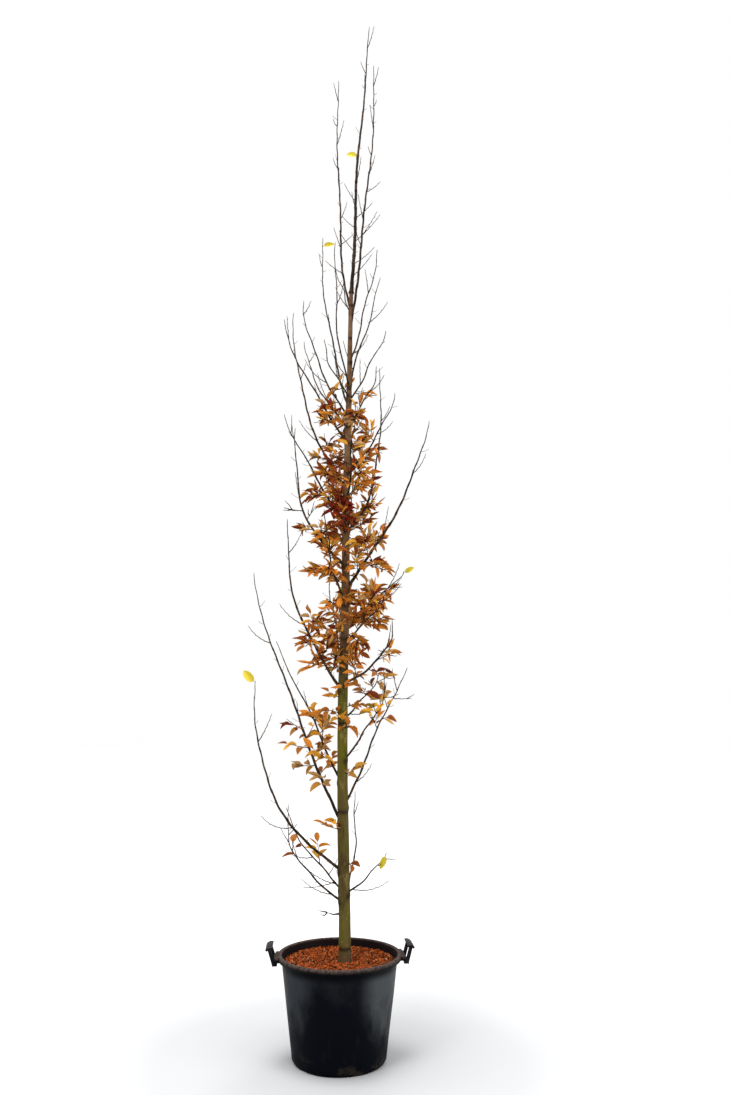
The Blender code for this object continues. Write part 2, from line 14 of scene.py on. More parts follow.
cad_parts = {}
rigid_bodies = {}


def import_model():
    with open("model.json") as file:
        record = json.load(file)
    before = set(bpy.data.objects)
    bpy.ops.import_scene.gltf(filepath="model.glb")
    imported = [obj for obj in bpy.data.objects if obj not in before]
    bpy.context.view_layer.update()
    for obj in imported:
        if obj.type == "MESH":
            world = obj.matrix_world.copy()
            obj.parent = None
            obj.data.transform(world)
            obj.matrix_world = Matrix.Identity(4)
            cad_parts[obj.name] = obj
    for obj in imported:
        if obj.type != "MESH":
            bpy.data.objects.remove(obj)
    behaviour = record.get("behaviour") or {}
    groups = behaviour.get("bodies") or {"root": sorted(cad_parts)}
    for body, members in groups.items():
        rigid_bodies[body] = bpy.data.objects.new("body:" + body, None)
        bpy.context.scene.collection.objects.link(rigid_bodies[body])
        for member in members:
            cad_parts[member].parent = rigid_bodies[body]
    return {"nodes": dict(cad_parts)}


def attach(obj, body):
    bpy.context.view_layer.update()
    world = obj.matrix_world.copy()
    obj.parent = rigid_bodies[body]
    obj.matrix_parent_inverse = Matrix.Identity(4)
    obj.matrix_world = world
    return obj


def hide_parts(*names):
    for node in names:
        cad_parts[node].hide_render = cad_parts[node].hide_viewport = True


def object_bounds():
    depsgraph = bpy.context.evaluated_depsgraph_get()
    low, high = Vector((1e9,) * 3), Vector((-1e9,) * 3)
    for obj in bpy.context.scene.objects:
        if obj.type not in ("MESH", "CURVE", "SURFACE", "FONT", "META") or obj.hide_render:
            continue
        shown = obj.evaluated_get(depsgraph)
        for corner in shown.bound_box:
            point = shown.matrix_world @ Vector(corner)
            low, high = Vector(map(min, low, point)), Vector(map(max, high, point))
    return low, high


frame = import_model()
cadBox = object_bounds()
nodeNames = sorted(frame["nodes"])
print("frame loaded,", len(nodeNames), "nodes")


# ---- camera, floor and light

view = {
    "place": (0.10, -3.767, 1.373),
    "pitch": 9.59,  # degrees above level
    "lens": 29.59,
    "sensor": 36.0,
}

studio = {
    "floorRadius": 30.0,
    # how far from the container in metres, and the floor's colour on screen there: greyer near the container as
    # a painted shadow, and paler far off as painted light that makes up for the lamps' fall-off
    "floorShadeRamp": ((0.7, (179, 180, 181)), (1.7, (214, 214, 214)), (9.0, (254, 254, 254))),
    "worldColour": (1.0, 1.0, 1.0),
    "worldStrength": 1.0,
    # name, place, aim, size, watts
    "lamps": (
        ("key", (-2.6, -3.4, 5.2), (0.0, 0.0, 1.8), 2.4, 130.0),
        ("top", (-0.6, -0.4, 7.5), (0.0, 0.0, 1.5), 3.2, 420.0),
        ("rear", (1.6, 3.6, 5.0), (0.0, 0.0, 2.0), 2.6, 90.0),
        ("side", (3.4, -1.6, 1.6), (0.0, 0.0, 0.3), 1.8, 45.0),
    ),
}


def fromScreen(red, green, blue):
    # a colour as it looks on screen, 0 to 255, made linear
    shares = [value / 255 for value in (red, green, blue)]
    return tuple(s / 12.92 if s <= 0.04045 else ((s + 0.055) / 1.055) ** 2.4 for s in shares)


def addCamera():
    data = bpy.data.cameras.new("camera")
    data.lens = view["lens"]
    data.sensor_width = view["sensor"]
    data.clip_end = 100
    thing = bpy.data.objects.new("camera", data)
    thing.location = view["place"]
    thing.rotation_euler = (math.radians(90 + view["pitch"]), 0, 0)
    bpy.context.scene.collection.objects.link(thing)
    bpy.context.scene.camera = thing


def addLamps():
    for name, place, aim, size, watts in studio["lamps"]:
        data = bpy.data.lights.new(name, "AREA")
        data.shape = "DISK"
        data.size = size
        data.energy = watts
        thing = bpy.data.objects.new(name, data)
        thing.location = place
        turn = (Vector(aim) - Vector(place)).to_track_quat("-Z", "Y")
        thing.rotation_euler = turn.to_euler()
        bpy.context.scene.collection.objects.link(thing)
    world = bpy.data.worlds.new("studio")
    world.use_nodes = True
    background = world.node_tree.nodes["Background"]
    background.inputs["Color"].default_value = (*studio["worldColour"], 1)
    background.inputs["Strength"].default_value = studio["worldStrength"]
    bpy.context.scene.world = world
    bpy.context.scene.view_settings.view_transform = "Standard"


# ---- materials

class Wire:
    # one socket's value, with sums written as sums
    def __init__(self, paint, socket):
        self.paint = paint
        self.socket = socket

    def join(self, operation, first, second):
        return self.paint.add("ShaderNodeMath", {"operation": operation}, {0: first, 1: second})

    def __add__(self, other):
        return self.join("ADD", self, other)

    def __radd__(self, other):
        return self.join("ADD", other, self)

    def __sub__(self, other):
        return self.join("SUBTRACT", self, other)

    def __rsub__(self, other):
        return self.join("SUBTRACT", other, self)

    def __mul__(self, other):
        return self.join("MULTIPLY", self, other)

    def __rmul__(self, other):
        return self.join("MULTIPLY", other, self)

    def __truediv__(self, other):
        return self.join("DIVIDE", self, other)

    def __pow__(self, other):
        return self.join("POWER", self, other)


class Paint:
    # a material and the nodes that feed its Principled shader
    def __init__(self, name, roughness, specular=0.5):
        self.material = bpy.data.materials.new(name)
        self.material.use_nodes = True
        self.tree = self.material.node_tree
        self.shader = self.tree.nodes["Principled BSDF"]
        self.shader.inputs["Roughness"].default_value = roughness
        self.shader.inputs["Specular IOR Level"].default_value = specular

    def add(self, kind, settings, sockets, output=0):
        node = self.tree.nodes.new(kind)
        for key, value in settings.items():
            if key == "stops":
                ramp = node.color_ramp
                ramp.elements[0].position, ramp.elements[0].color = value[0]
                ramp.elements[1].position, ramp.elements[1].color = value[-1]
                for position, colour in value[1:-1]:
                    ramp.elements.new(position).color = colour
            else:
                setattr(node, key, value)
        for key, value in sockets.items():
            self.feed(node.inputs[key], value)
        return Wire(self, node.outputs[output])

    def feed(self, socket, value):
        if isinstance(value, Wire):
            self.tree.links.new(value.socket, socket)
        else:
            socket.default_value = value

    def set(self, name, value):
        self.feed(self.shader.inputs[name], value)

    def place(self, scale=(1, 1, 1), turn=(0, 0, 0)):
        here = self.add("ShaderNodeTexCoord", {}, {}, "Object")
        return self.add("ShaderNodeMapping", {}, {"Vector": here, "Scale": scale, "Rotation": turn})

    def apart(self):
        split = self.add("ShaderNodeSeparateXYZ", {}, {"Vector": self.place()})
        return [Wire(self, socket) for socket in split.socket.node.outputs]

    def height(self):
        return self.apart()[2]

    def speckle(self, size, scale=(1, 1, 1), detail=4.0, roughness=0.6, turn=(0, 0, 0)):
        return self.add("ShaderNodeTexNoise", {},
                        {"Vector": self.place(scale, turn), "Scale": size, "Detail": detail,
                         "Roughness": roughness}, "Fac")

    def between(self, value, low, high):
        return self.add("ShaderNodeMapRange", {"interpolation_type": "SMOOTHSTEP"},
                        {"Value": value, "From Min": low, "From Max": high})

    def blend(self, share, first, second):
        colours = [value if isinstance(value, Wire) else (*value, 1) for value in (first, second)]
        return self.add("ShaderNodeMix", {"data_type": "RGBA"},
                        {"Factor": share, 6: colours[0], 7: colours[1]}, 2)

    def emboss(self, height, strength, distance):
        bump = self.add("ShaderNodeBump", {}, {"Height": height, "Strength": strength,
                                               "Distance": distance}, "Normal")
        self.set("Normal", bump)


def plainPaint(name, screenColour, roughness, specular=0.3):
    paint = Paint(name, roughness, specular)
    paint.set("Base Color", (*fromScreen(*screenColour), 1))
    return paint.material


def paintFloor():
    # a little greyer round the container as a painted shadow, and as pale as the studio far away, where the
    # paler colour is painted light that makes up for the lamps' fall-off
    paint = Paint("floor", 0.8, 0.1)
    tints = studio["floorShadeRamp"]
    last = tints[-1][0]
    away = paint.add("ShaderNodeVectorMath", {"operation": "LENGTH"}, {0: paint.place()}, "Value")
    stops = [(distance / last, (*fromScreen(*tint), 1)) for distance, tint in tints]
    paint.set("Base Color", paint.add("ShaderNodeValToRGB", {"stops": stops}, {"Fac": away / last}))
    return paint.material


# ---- making pieces

def finishPiece(name, shape, materials, nodes, sharp=None):
    mesh = bpy.data.meshes.new(name)
    shape.to_mesh(mesh)
    shape.free()
    for material in materials:
        mesh.materials.append(material)
    mesh.shade_smooth()
    if sharp:
        mesh.set_sharp_from_angle(angle=math.radians(sharp))
    thing = bpy.data.objects.new(name, mesh)
    bpy.context.scene.collection.objects.link(thing)
    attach(thing, "root")
    if nodes:
        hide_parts(*nodes)
    print(name, len(mesh.polygons), "faces")
    return thing


def pourInto(total, shape):
    # moves a small shape into the mesh that gathers its kind
    mesh = bpy.data.meshes.new("part")
    shape.to_mesh(mesh)
    shape.free()
    total.from_mesh(mesh)
    bpy.data.meshes.remove(mesh)


def tubeFrames(centres):
    headings = []
    for index in range(len(centres)):
        ahead = centres[min(index + 1, len(centres) - 1)]
        headings.append((ahead - centres[max(index - 1, 0)]).normalized())
    across = headings[0].orthogonal().normalized()
    frames = []
    for heading in headings:
        across = (across - heading * across.dot(heading)).normalized()
        frames.append((across, heading.cross(across)))
    return frames


def wrapTube(shape, centres, radii, sides, relief=None):
    # a grid is wrapped round the centres; merging closes its seam and both of its ends
    frames = tubeFrames(centres)
    last = len(centres) + 1
    made = bmesh.ops.create_grid(shape, x_segments=last, y_segments=sides, size=1)["verts"]
    for vert in made:
        ring = round((vert.co.x + 1) / 2 * last)
        inner = min(max(ring - 1, 0), last - 2)
        angle = (vert.co.y + 1) * math.pi
        radius = 0 if ring in (0, last) else radii[inner]
        if relief and radius:
            radius += relief(centres[inner], angle, radius)
        first, second = frames[inner]
        spoke = first * math.cos(angle) + second * math.sin(angle)
        vert.co = centres[inner] + spoke * radius
    bmesh.ops.remove_doubles(shape, verts=made, dist=1e-6)


# ---- the tree's plan: the same rule and the same sizes as its solids

# height above the floor, offset right, offset back, radius
trunkStations = (
    (0.358, 0.0210, 0.000, 0.0262),
    (0.430, 0.0205, 0.000, 0.0245),
    (0.740, 0.0142, 0.004, 0.0232),
    (1.050, 0.0085, 0.006, 0.0216),
    (1.370, 0.0080, 0.002, 0.0204),
    (1.790, 0.0180, -0.004, 0.0180),
    (2.220, 0.0190, -0.006, 0.0154),
    (2.480, 0.0255, -0.003, 0.0136),
    (2.660, 0.0300, 0.001, 0.0120),
    (2.920, 0.0335, 0.004, 0.0104),
    (3.160, 0.0385, 0.003, 0.0086),
)

# where a limb leaves the trunk, how far its tip reaches right, back and up, how early it bends
# upright, its radius, how much of it is a bare bough, and the stretch of it that carries leaves
Limb = namedtuple("Limb", "name height right back rise bend radius bough leafFrom leafTo")
sideLimbs = (
    Limb("01", 0.556, 0.04, 0.18, 0.43, 3.50, 0.0044, 0.00, 0.00, 0.00),
    Limb("02", 0.578, -0.22, -0.10, 0.32, 2.15, 0.0046, 0.00, 0.22, 0.34),
    Limb("03", 0.604, 0.165, -0.12, 0.18, 1.30, 0.0040, 0.00, 0.20, 0.25),
    Limb("04", 0.612, -0.245, 0.14, 0.31, 1.45, 0.0044, 0.00, 0.05, 0.14),
    Limb("05", 0.694, -0.355, -0.12, 0.75, 2.95, 0.0060, 0.22, 0.06, 0.12),
    Limb("06", 0.866, -0.390, 0.06, 1.04, 1.25, 0.0066, 0.14, 0.16, 0.42),
    Limb("07", 0.934, 0.27, 0.10, 0.57, 0.96, 0.0054, 0.16, 0.36, 0.50),
    Limb("08", 1.032, -0.295, 0.17, 0.59, 1.02, 0.0051, 0.14, 0.04, 0.30),
    Limb("09", 1.126, 0.175, -0.16, 0.31, 1.55, 0.0044, 0.00, 0.24, 0.34),
    Limb("10", 1.289, 0.155, 0.18, 0.20, 1.40, 0.0042, 0.00, 0.16, 0.27),
    Limb("11", 1.405, -0.23, -0.12, 0.70, 2.35, 0.0062, 0.08, 0.00, 0.26),
    Limb("12", 1.436, 0.20, -0.15, 0.25, 2.70, 0.0053, 0.00, 0.00, 0.18),
    Limb("13", 1.510, -0.07, 0.26, 0.42, 1.70, 0.0051, 0.00, 0.00, 0.30),
    Limb("14", 1.608, 0.17, -0.18, 0.20, 1.55, 0.0044, 0.00, 0.00, 0.20),
    Limb("15", 1.696, 0.255, 0.14, 0.23, 1.25, 0.0050, 0.00, 0.00, 0.22),
    Limb("16", 1.760, -0.08, -0.24, 0.36, 1.70, 0.0050, 0.00, 0.00, 0.28),
    Limb("17", 1.824, 0.35, -0.12, 0.70, 1.45, 0.0070, 0.09, 0.00, 0.25),
    Limb("18", 1.925, -0.21, -0.15, 0.56, 3.30, 0.0054, 0.08, 0.00, 0.26),
    Limb("19", 2.000, 0.03, 0.25, 0.40, 1.80, 0.0050, 0.00, 0.00, 0.24),
    Limb("20", 2.074, 0.15, 0.19, 0.80, 4.50, 0.0054, 0.07, 0.00, 0.24),
    Limb("21", 2.114, -0.28, 0.13, 0.52, 1.20, 0.0053, 0.09, 0.00, 0.20),
    Limb("22", 2.190, 0.04, -0.23, 0.38, 1.80, 0.0046, 0.00, 0.00, 0.26),
    Limb("23", 2.257, -0.25, 0.15, 0.87, 2.10, 0.0058, 0.07, 0.00, 0.22),
    Limb("24", 2.333, 0.21, 0.07, 0.38, 1.50, 0.0047, 0.00, 0.00, 0.20),
    Limb("25", 2.467, -0.28, -0.03, 0.55, 1.40, 0.0050, 0.09, 0.00, 0.17),
    Limb("26", 2.529, -0.21, 0.20, 0.48, 1.50, 0.0044, 0.00, 0.00, 0.15),
    Limb("27", 2.543, 0.12, -0.18, 0.20, 1.90, 0.0039, 0.00, 0.00, 0.15),
    Limb("28", 2.585, -0.19, -0.16, 0.46, 1.90, 0.0044, 0.09, 0.00, 0.12),
    Limb("29", 2.626, -0.13, 0.19, 0.90, 2.00, 0.0050, 0.07, 0.00, 0.11),
    Limb("30", 2.656, 0.16, -0.10, 0.28, 1.20, 0.0040, 0.00, 0.00, 0.06),
    Limb("31", 2.676, -0.10, -0.20, 0.18, 2.10, 0.0035, 0.00, 0.00, 0.06),
    Limb("32", 2.720, -0.06, -0.17, 0.59, 3.30, 0.0039, 0.00, 0.00, 0.00),
    Limb("33", 2.735, 0.14, 0.17, 0.58, 1.05, 0.0044, 0.10, 0.00, 0.00),
    Limb("34", 2.831, 0.12, -0.14, 0.46, 1.35, 0.0040, 0.00, 0.00, 0.00),
    Limb("35", 3.064, -0.07, 0.10, 0.26, 1.10, 0.0032, 0.00, 0.00, 0.00),
)
leaders = (
    Limb("middle", 3.160, 0.083, -0.003, 1.33, 0.80, 0.0086, 0.30, 0.00, 0.00),
    Limb("left", 3.085, -0.062, 0.060, 1.17, 4.60, 0.0054, 0.26, 0.00, 0.00),
    Limb("right", 3.010, 0.105, -0.050, 1.24, 1.90, 0.0060, 0.28, 0.00, 0.00),
)

growth = {
    "sway": 0.03,
    "swayTurns": (9, 8),
    "swayPhase": 40,
    "tipRadius": 0.0016,
    "taper": 0.9,
    "collar": 0.35,
    "collarLength": 0.04,
    "headingStep": 0.01,
    "stemStep": 0.12,
    "roomStep": 0.03,
    "clearance": 0.003,
}

twigRule = {
    "radius": 0.0022,
    "spacingLeafy": 0.042,
    "spacingBare": 0.33,
    "spacingLeader": 0.12,
    "lengthLeafy": (0.060, 0.105),
    "narrowing": (1.3, 0.22),
    "lengthBare": (0.090, 0.165),
    "slantLeafy": (0.85, 1.25),
    "riseLeafy": 0.15,
    "slantBare": (0.45, 0.80),
    "riseBare": 0.45,
    "turn": 0.9,
    "bend": 0.15,
    "shortening": (1.1, 0.5),
    "samples": 14,
    "start": (0.015, 0.04),
    "last": 0.95,
    "spread": (0.8, 1.2),
    "tries": 5,
}


def trunkAt(height):
    rows = np.array(trunkStations)
    slopes = np.gradient(rows[:, 1:], rows[:, 0], axis=0)
    index = min(max(int(np.searchsorted(rows[:, 0], height)) - 1, 0), len(rows) - 2)
    span = rows[index + 1, 0] - rows[index, 0]
    s = (height - rows[index, 0]) / span
    value = ((1 + 2 * s) * (1 - s) ** 2 * rows[index, 1:] + s * (1 - s) ** 2 * span * slopes[index]
             + s * s * (3 - 2 * s) * rows[index + 1, 1:] + s * s * (s - 1) * span * slopes[index + 1])
    return Vector((value[0], value[1], height)), float(value[2])


def limbAt(limb, t):
    spread = 1 - max(1 - t, 0) ** limb.bend
    phase = growth["swayPhase"] * limb.height
    sway = growth["sway"] * t * (1 - t)
    turns = growth["swayTurns"]
    return trunkAt(limb.height)[0] + Vector((
        limb.right * spread + sway * math.sin(turns[0] * t + phase),
        limb.back * spread + sway * math.cos(turns[1] * t + phase),
        limb.rise * t))


def limbHeading(limb, t):
    step = growth["headingStep"]
    return (limbAt(limb, min(t + step, 1)) - limbAt(limb, max(t - step, 0))).normalized()


def limbLength(limb):
    return math.hypot(limb.right, limb.back, limb.rise)


def limbRadius(limb, t):
    tip = growth["tipRadius"]
    collar = 1 + growth["collar"] * max(0, 1 - t * limbLength(limb) / growth["collarLength"])
    return (tip + (limb.radius - tip) * max(1 - t, 0) ** growth["taper"]) * collar


def evenShares(start, end, length, step):
    count = max(2, round((end - start) * length / step))
    return [start + (end - start) * i / count for i in range(count + 1)]


def stemAt(limb, t):
    # a point on the straight runs of the solid's stem
    shares = evenShares(limb.bough, 1, limbLength(limb), growth["stemStep"])
    index = min(int((t - limb.bough) / (shares[1] - shares[0])), len(shares) - 2)
    local = (t - shares[index]) / (shares[1] - shares[0])
    return limbAt(limb, shares[index]).lerp(limbAt(limb, shares[index + 1]), local)


class Room:
    # space taken so far, as thick lines that each belong to one mass
    def __init__(self):
        self.starts, self.ends, self.radii, self.owners = [], [], [], []

    def take(self, start, end, radius, owner):
        self.starts.append(tuple(start))
        self.ends.append(tuple(end))
        self.radii.append(radius)
        self.owners.append(owner)

    def distances(self, points):
        starts, ends = np.array(self.starts), np.array(self.ends)
        run = ends - starts
        offset = np.array(points)[:, None, :] - starts[None]
        share = np.clip((offset * run).sum(2) / np.maximum((run * run).sum(1), 1e-12), 0, 1)
        return np.linalg.norm(offset - share[..., None] * run, axis=2) - np.array(self.radii)

    def isFree(self, points, radius, owner):
        others = np.array([name != owner for name in self.owners])
        return bool((self.distances(points)[:, others] - radius >= growth["clearance"]).all())


def turnedAcross(rng, heading, order, spread, phase=0):
    across = heading.orthogonal().normalized()
    across.rotate(Matrix.Rotation(math.pi * order + rng.uniform(-spread, spread) + phase, 3, heading))
    return across


def twigPoints(rng, limb, t, order, leafy):
    kind = "Leafy" if leafy else "Bare"
    heading = limbHeading(limb, t)
    across = turnedAcross(rng, heading, order, twigRule["turn"], growth["swayPhase"] * limb.height)
    slant = rng.uniform(*twigRule["slant" + kind])
    shortening = twigRule["shortening"][0] - twigRule["shortening"][1] * t
    if leafy:
        shortening *= twigRule["narrowing"][0] - twigRule["narrowing"][1] * limb.height
    length = rng.uniform(*twigRule["length" + kind]) * shortening
    root = stemAt(limb, t)
    first = (heading * math.cos(slant) + across * math.sin(slant)).normalized()
    sideways = across * rng.uniform(-twigRule["bend"], twigRule["bend"])
    second = (first + Vector((0, 0, twigRule["rise" + kind])) + sideways).normalized()
    middle = root + first * length / 2
    return [root, middle, middle + second * length / 2]


def pointOn(points, share):
    index = 0 if share < 0.5 else 1
    local = share * 2 - index
    run = points[index + 1] - points[index]
    return points[index] + run * local, run.normalized()


def takeStem(room, limb, owner, start, end):
    shares = evenShares(start, end, limbLength(limb), growth["roomStep"])
    for first, second in zip(shares, shares[1:]):
        room.take(limbAt(limb, first), limbAt(limb, second), limbRadius(limb, first), owner)


def growTwigs(room, limb, owner, bareSpacing):
    rng = random.Random(round(limb.height * 1000))
    length = limbLength(limb)
    twigs = []
    travelled = max(limb.bough * length + twigRule["start"][0], twigRule["start"][1])
    order = 0
    while travelled < length * twigRule["last"]:
        t = travelled / length
        leafy = limb.leafFrom <= travelled < limb.leafTo
        for _ in range(twigRule["tries"]):
            points = twigPoints(rng, limb, t, order, leafy)
            samples = [pointOn(points, share)[0] for share in np.linspace(0.1, 1, twigRule["samples"])]
            if room.isFree(samples, twigRule["radius"], owner):
                twigs.append({"limb": limb, "t": t, "points": points, "leafy": leafy})
                for first, second in zip(points, points[1:]):
                    room.take(first, second, twigRule["radius"], owner)
                break
        spacing = twigRule["spacingLeafy"] if leafy else bareSpacing
        reached = travelled + spacing * rng.uniform(*twigRule["spread"])
        travelled = limb.leafFrom if travelled < limb.leafFrom < reached else reached
        order += 1
    return twigs


def planTree():
    room = Room()
    low, high = trunkStations[0][0], trunkStations[-1][0]
    heights = evenShares(low, high, 1, growth["roomStep"])
    for first, second in zip(heights, heights[1:]):
        room.take(trunkAt(first)[0], trunkAt(second)[0], trunkAt(first)[1], "trunk")
    named = [(limb, "bough_" + limb.name, "foliage_" + limb.name, twigRule["spacingBare"])
             for limb in sideLimbs]
    named += [(limb, "leader_" + limb.name, "twigs_" + limb.name, twigRule["spacingLeader"])
              for limb in leaders]
    for limb, bough, mass, _ in named:
        if limb.bough > 0:
            takeStem(room, limb, bough, 0.0, limb.bough)
        takeStem(room, limb, mass, limb.bough, 1.0)
    return [(limb, growTwigs(room, limb, mass, spacing)) for limb, _, mass, spacing in named]


# ---- bark

trunkLook = {
    "sides": 64,
    "ringStep": 0.006,
    "sunk": 0.012,
    "flute": 0.0009,
    "fluteSize": 3.0,
    "ripple": 0.0005,
    "rippleSize": (55, 18),
    "grain": 0.00025,
    "grainSize": (260, 40),
    "collar": 0.0042,
    "collarSpread": 0.020,
    "scars": (0.405, 0.925, 1.275, 1.62, 2.30, 2.712, 2.945, 3.10),  # heights of old collars
    "scarWidth": 0.0085,
    "scarDepth": 0.0012,
    "darkSpread": 0.026,
}


def paintTrunk():
    paint = Paint("trunk bark", 0.74, 0.05)
    height = paint.height()
    patches = paint.speckle(9, (1, 1, 0.35), 5)
    blotches = paint.speckle(24, (1, 1, 0.45), 4, 0.7)
    lower = paint.blend(paint.between(patches, 0.38, 0.62), fromScreen(90, 78, 38), fromScreen(60, 47, 26))
    lower = paint.blend(paint.between(blotches, 0.48, 0.60) * 0.5, lower, fromScreen(76, 76, 24))
    algae = paint.between(height, 0.90, 1.20) * (1 - paint.between(height, 1.34, 1.50))
    lower = paint.blend(algae * paint.between(patches, 0.34, 0.60), lower, fromScreen(82, 80, 18))
    upper = paint.blend(paint.between(patches, 0.40, 0.62), fromScreen(112, 86, 60), fromScreen(80, 54, 38))
    base = paint.blend(paint.between(height, 1.30, 1.75), lower, upper)
    bands = paint.speckle(34, (1, 1, 0.06), 4, 0.6)
    base = paint.blend(paint.between(bands, 0.52, 0.64) * 0.6, base, fromScreen(108, 84, 62))
    base = paint.blend((1 - paint.between(blotches, 0.30, 0.44)) * 0.5, base, fromScreen(138, 124, 78))
    streaks = paint.speckle(70, (1, 1, 0.12), 6, 0.7)
    base = paint.blend(paint.between(streaks, 0.52, 0.70) * 0.6, base, fromScreen(38, 28, 14))
    flecks = paint.speckle(120, (1, 1, 0.7), 3)
    base = paint.blend(paint.between(flecks, 0.62, 0.74) * 0.5, base, fromScreen(152, 138, 98))
    soiled = 1 - paint.between(height, 0.385, 0.405)
    base = paint.blend(soiled * 0.6, base, fromScreen(84, 64, 48))
    collars = paint.add("ShaderNodeAttribute", {"attribute_name": "collar"}, {}, "Fac")
    base = paint.blend(collars * (0.66 + paint.between(streaks, 0.30, 0.60) * 0.3), base, fromScreen(24, 15, 12))
    paint.set("Base Color", base)
    paint.emboss(streaks + flecks * 0.4, 0.6, 0.0014)
    return paint.material


def collarShare(point):
    # how near a point on the trunk is to a limb's foot or to an old collar
    look = trunkLook
    share = 0
    for limb in sideLimbs:
        rise = point.z - limb.height
        if abs(rise) < 3 * look["darkSpread"]:
            centre, radius = trunkAt(limb.height)
            facing = math.atan2(limb.back, limb.right)
            turn = math.atan2(point.y - centre.y, point.x - centre.x) - facing
            turn = (turn + math.pi) % math.tau - math.pi
            away = math.hypot(rise * 1.3, turn * radius)
            share = max(share, math.exp(-(away / look["darkSpread"]) ** 2 * 2))
    return max(share, scarShare(point))


def scarShare(point):
    look = trunkLook
    wander = 0.003 * noise.noise(Vector((point.x * 40, point.y * 40, point.z * 3)))
    nearest = min(abs(point.z + wander - height) for height in look["scars"])
    return math.exp(-(nearest / look["scarWidth"]) ** 2)


def trunkRelief(centre, angle, radius):
    look = trunkLook
    ring = Vector((math.cos(angle), math.sin(angle), 0))
    z = centre.z
    long = noise.noise(ring * 1.6 + Vector((0, 0, z * look["fluteSize"])))
    wave = noise.noise(ring * radius * look["rippleSize"][0] + Vector((7, 0, z * look["rippleSize"][1])))
    fine = noise.noise(ring * radius * look["grainSize"][0] + Vector((0, 9, z * look["grainSize"][1])))
    offset = look["flute"] * long + look["ripple"] * wave + look["grain"] * fine
    offset -= look["scarDepth"] * scarShare(centre + ring * radius)
    for limb in sideLimbs:
        rise = z - limb.height
        if abs(rise) < 3 * look["collarSpread"]:
            facing = math.atan2(limb.back, limb.right)
            turn = (angle - facing + math.pi) % math.tau - math.pi
            away = math.hypot(rise - 0.006, turn * radius)
            offset += look["collar"] * math.exp(-(away / look["collarSpread"]) ** 2 * 2)
    return offset * min(radius / 0.018, 1)


def makeTrunk():
    low, high = trunkStations[0][0], trunkStations[-1][0]
    heights = evenShares(low, high, 1, trunkLook["ringStep"])
    stations = [trunkAt(height) for height in heights]
    foot, radius = stations[0]
    centres = [foot - Vector((0, 0, trunkLook["sunk"]))] + [centre for centre, _ in stations]
    radii = [radius] + [size for _, size in stations]
    shape = bmesh.new()
    wrapUpright(shape, centres, radii, trunkLook["sides"], trunkRelief)
    bmesh.ops.recalc_face_normals(shape, faces=shape.faces)
    collar = shape.verts.layers.float.new("collar")
    for vert in shape.verts:
        vert[collar] = collarShare(vert.co)
    finishPiece("trunk_bark", shape, [paintTrunk()], ["trunk"])


def wrapUpright(shape, centres, radii, sides, relief):
    # the trunk's rings stay level, so that an angle is a direction round it
    last = len(centres) + 1
    made = bmesh.ops.create_grid(shape, x_segments=last, y_segments=sides, size=1)["verts"]
    for vert in made:
        ring = round((vert.co.x + 1) / 2 * last)
        inner = min(max(ring - 1, 0), last - 2)
        angle = (vert.co.y + 1) * math.pi
        radius = 0 if ring in (0, last) else radii[inner]
        if radius:
            radius += relief(centres[inner], angle, radius)
        vert.co = centres[inner] + Vector((math.cos(angle), math.sin(angle), 0)) * radius
    bmesh.ops.remove_doubles(shape, verts=made, dist=1e-6)


limbLook = {
    "sides": 10,
    "ringStep": 0.012,
    "kink": 0.0011,
    "kinkEvery": 0.045,
    "swelling": 0.22,
    "knob": 0.10,
    "budEvery": 0.042,
    "budLength": (0.0045, 0.0075),
    "budRadius": 0.0012,
    "spurEvery": 0.085,
    "spurLength": (0.010, 0.034),
    "spurRadius": 0.0011,
}

twigLook = {
    "sides": 5,
    "ringStep": 0.011,
    "rootRadius": 0.0022,
    "tipRadius": 0.0011,
    "zigzag": 0.0011,
    "forkLength": (0.025, 0.055),
    "forkSlant": (0.6, 1.0),
}


def limbPoint(limb, t):
    # the limb's line with a small kink at every joint
    travelled = t * limbLength(limb) / limbLook["kinkEvery"]
    side = 1 if int(travelled) % 2 else -1
    swing = side * math.sin(math.pi * (travelled % 1)) * limbLook["kink"]
    heading = limbHeading(limb, t)
    across = heading.cross(Vector((math.sin(limb.height * 50), math.cos(limb.height * 50), 0.3)))
    return limbAt(limb, t) + across.normalized() * swing


def limbSize(limb, t):
    travelled = t * limbLength(limb) / limbLook["kinkEvery"]
    joint = abs(travelled - round(travelled))
    swelling = 1 + limbLook["swelling"] * math.exp(-(joint / limbLook["knob"]) ** 2)
    return max(limbRadius(limb, t) * swelling - 0.0003, 0.0009)


def addBud(shape, rng, root, heading, across, stand):
    along = (heading + across * stand).normalized()
    length = rng.uniform(*limbLook["budLength"])
    made = bmesh.ops.create_cone(shape, cap_ends=True, segments=5, radius1=limbLook["budRadius"],
                                 radius2=0.0001, depth=length)["verts"]
    turn = along.to_track_quat("Z", "Y").to_matrix().to_4x4()
    place = Matrix.Translation(root + along * length / 2) @ turn
    bmesh.ops.transform(shape, matrix=place, verts=made)


def addShoot(shape, rng, root, along, length, radius, budded=True):
    # a short finer twig that bends upright, with a bud at its tip
    middle = root + along * length / 2
    tip = middle + (along + Vector((0, 0, 0.35))).normalized() * length / 2
    centres = [root, root.lerp(middle, 0.5), middle, middle.lerp(tip, 0.5), tip]
    radii = [radius, radius * 0.95, radius * 0.85, radius * 0.75, radius * 0.6]
    wrapTube(shape, centres, radii, 4)
    if budded:
        addBud(shape, rng, tip - (tip - middle) * 0.05, (tip - middle).normalized(), along, 0.1)


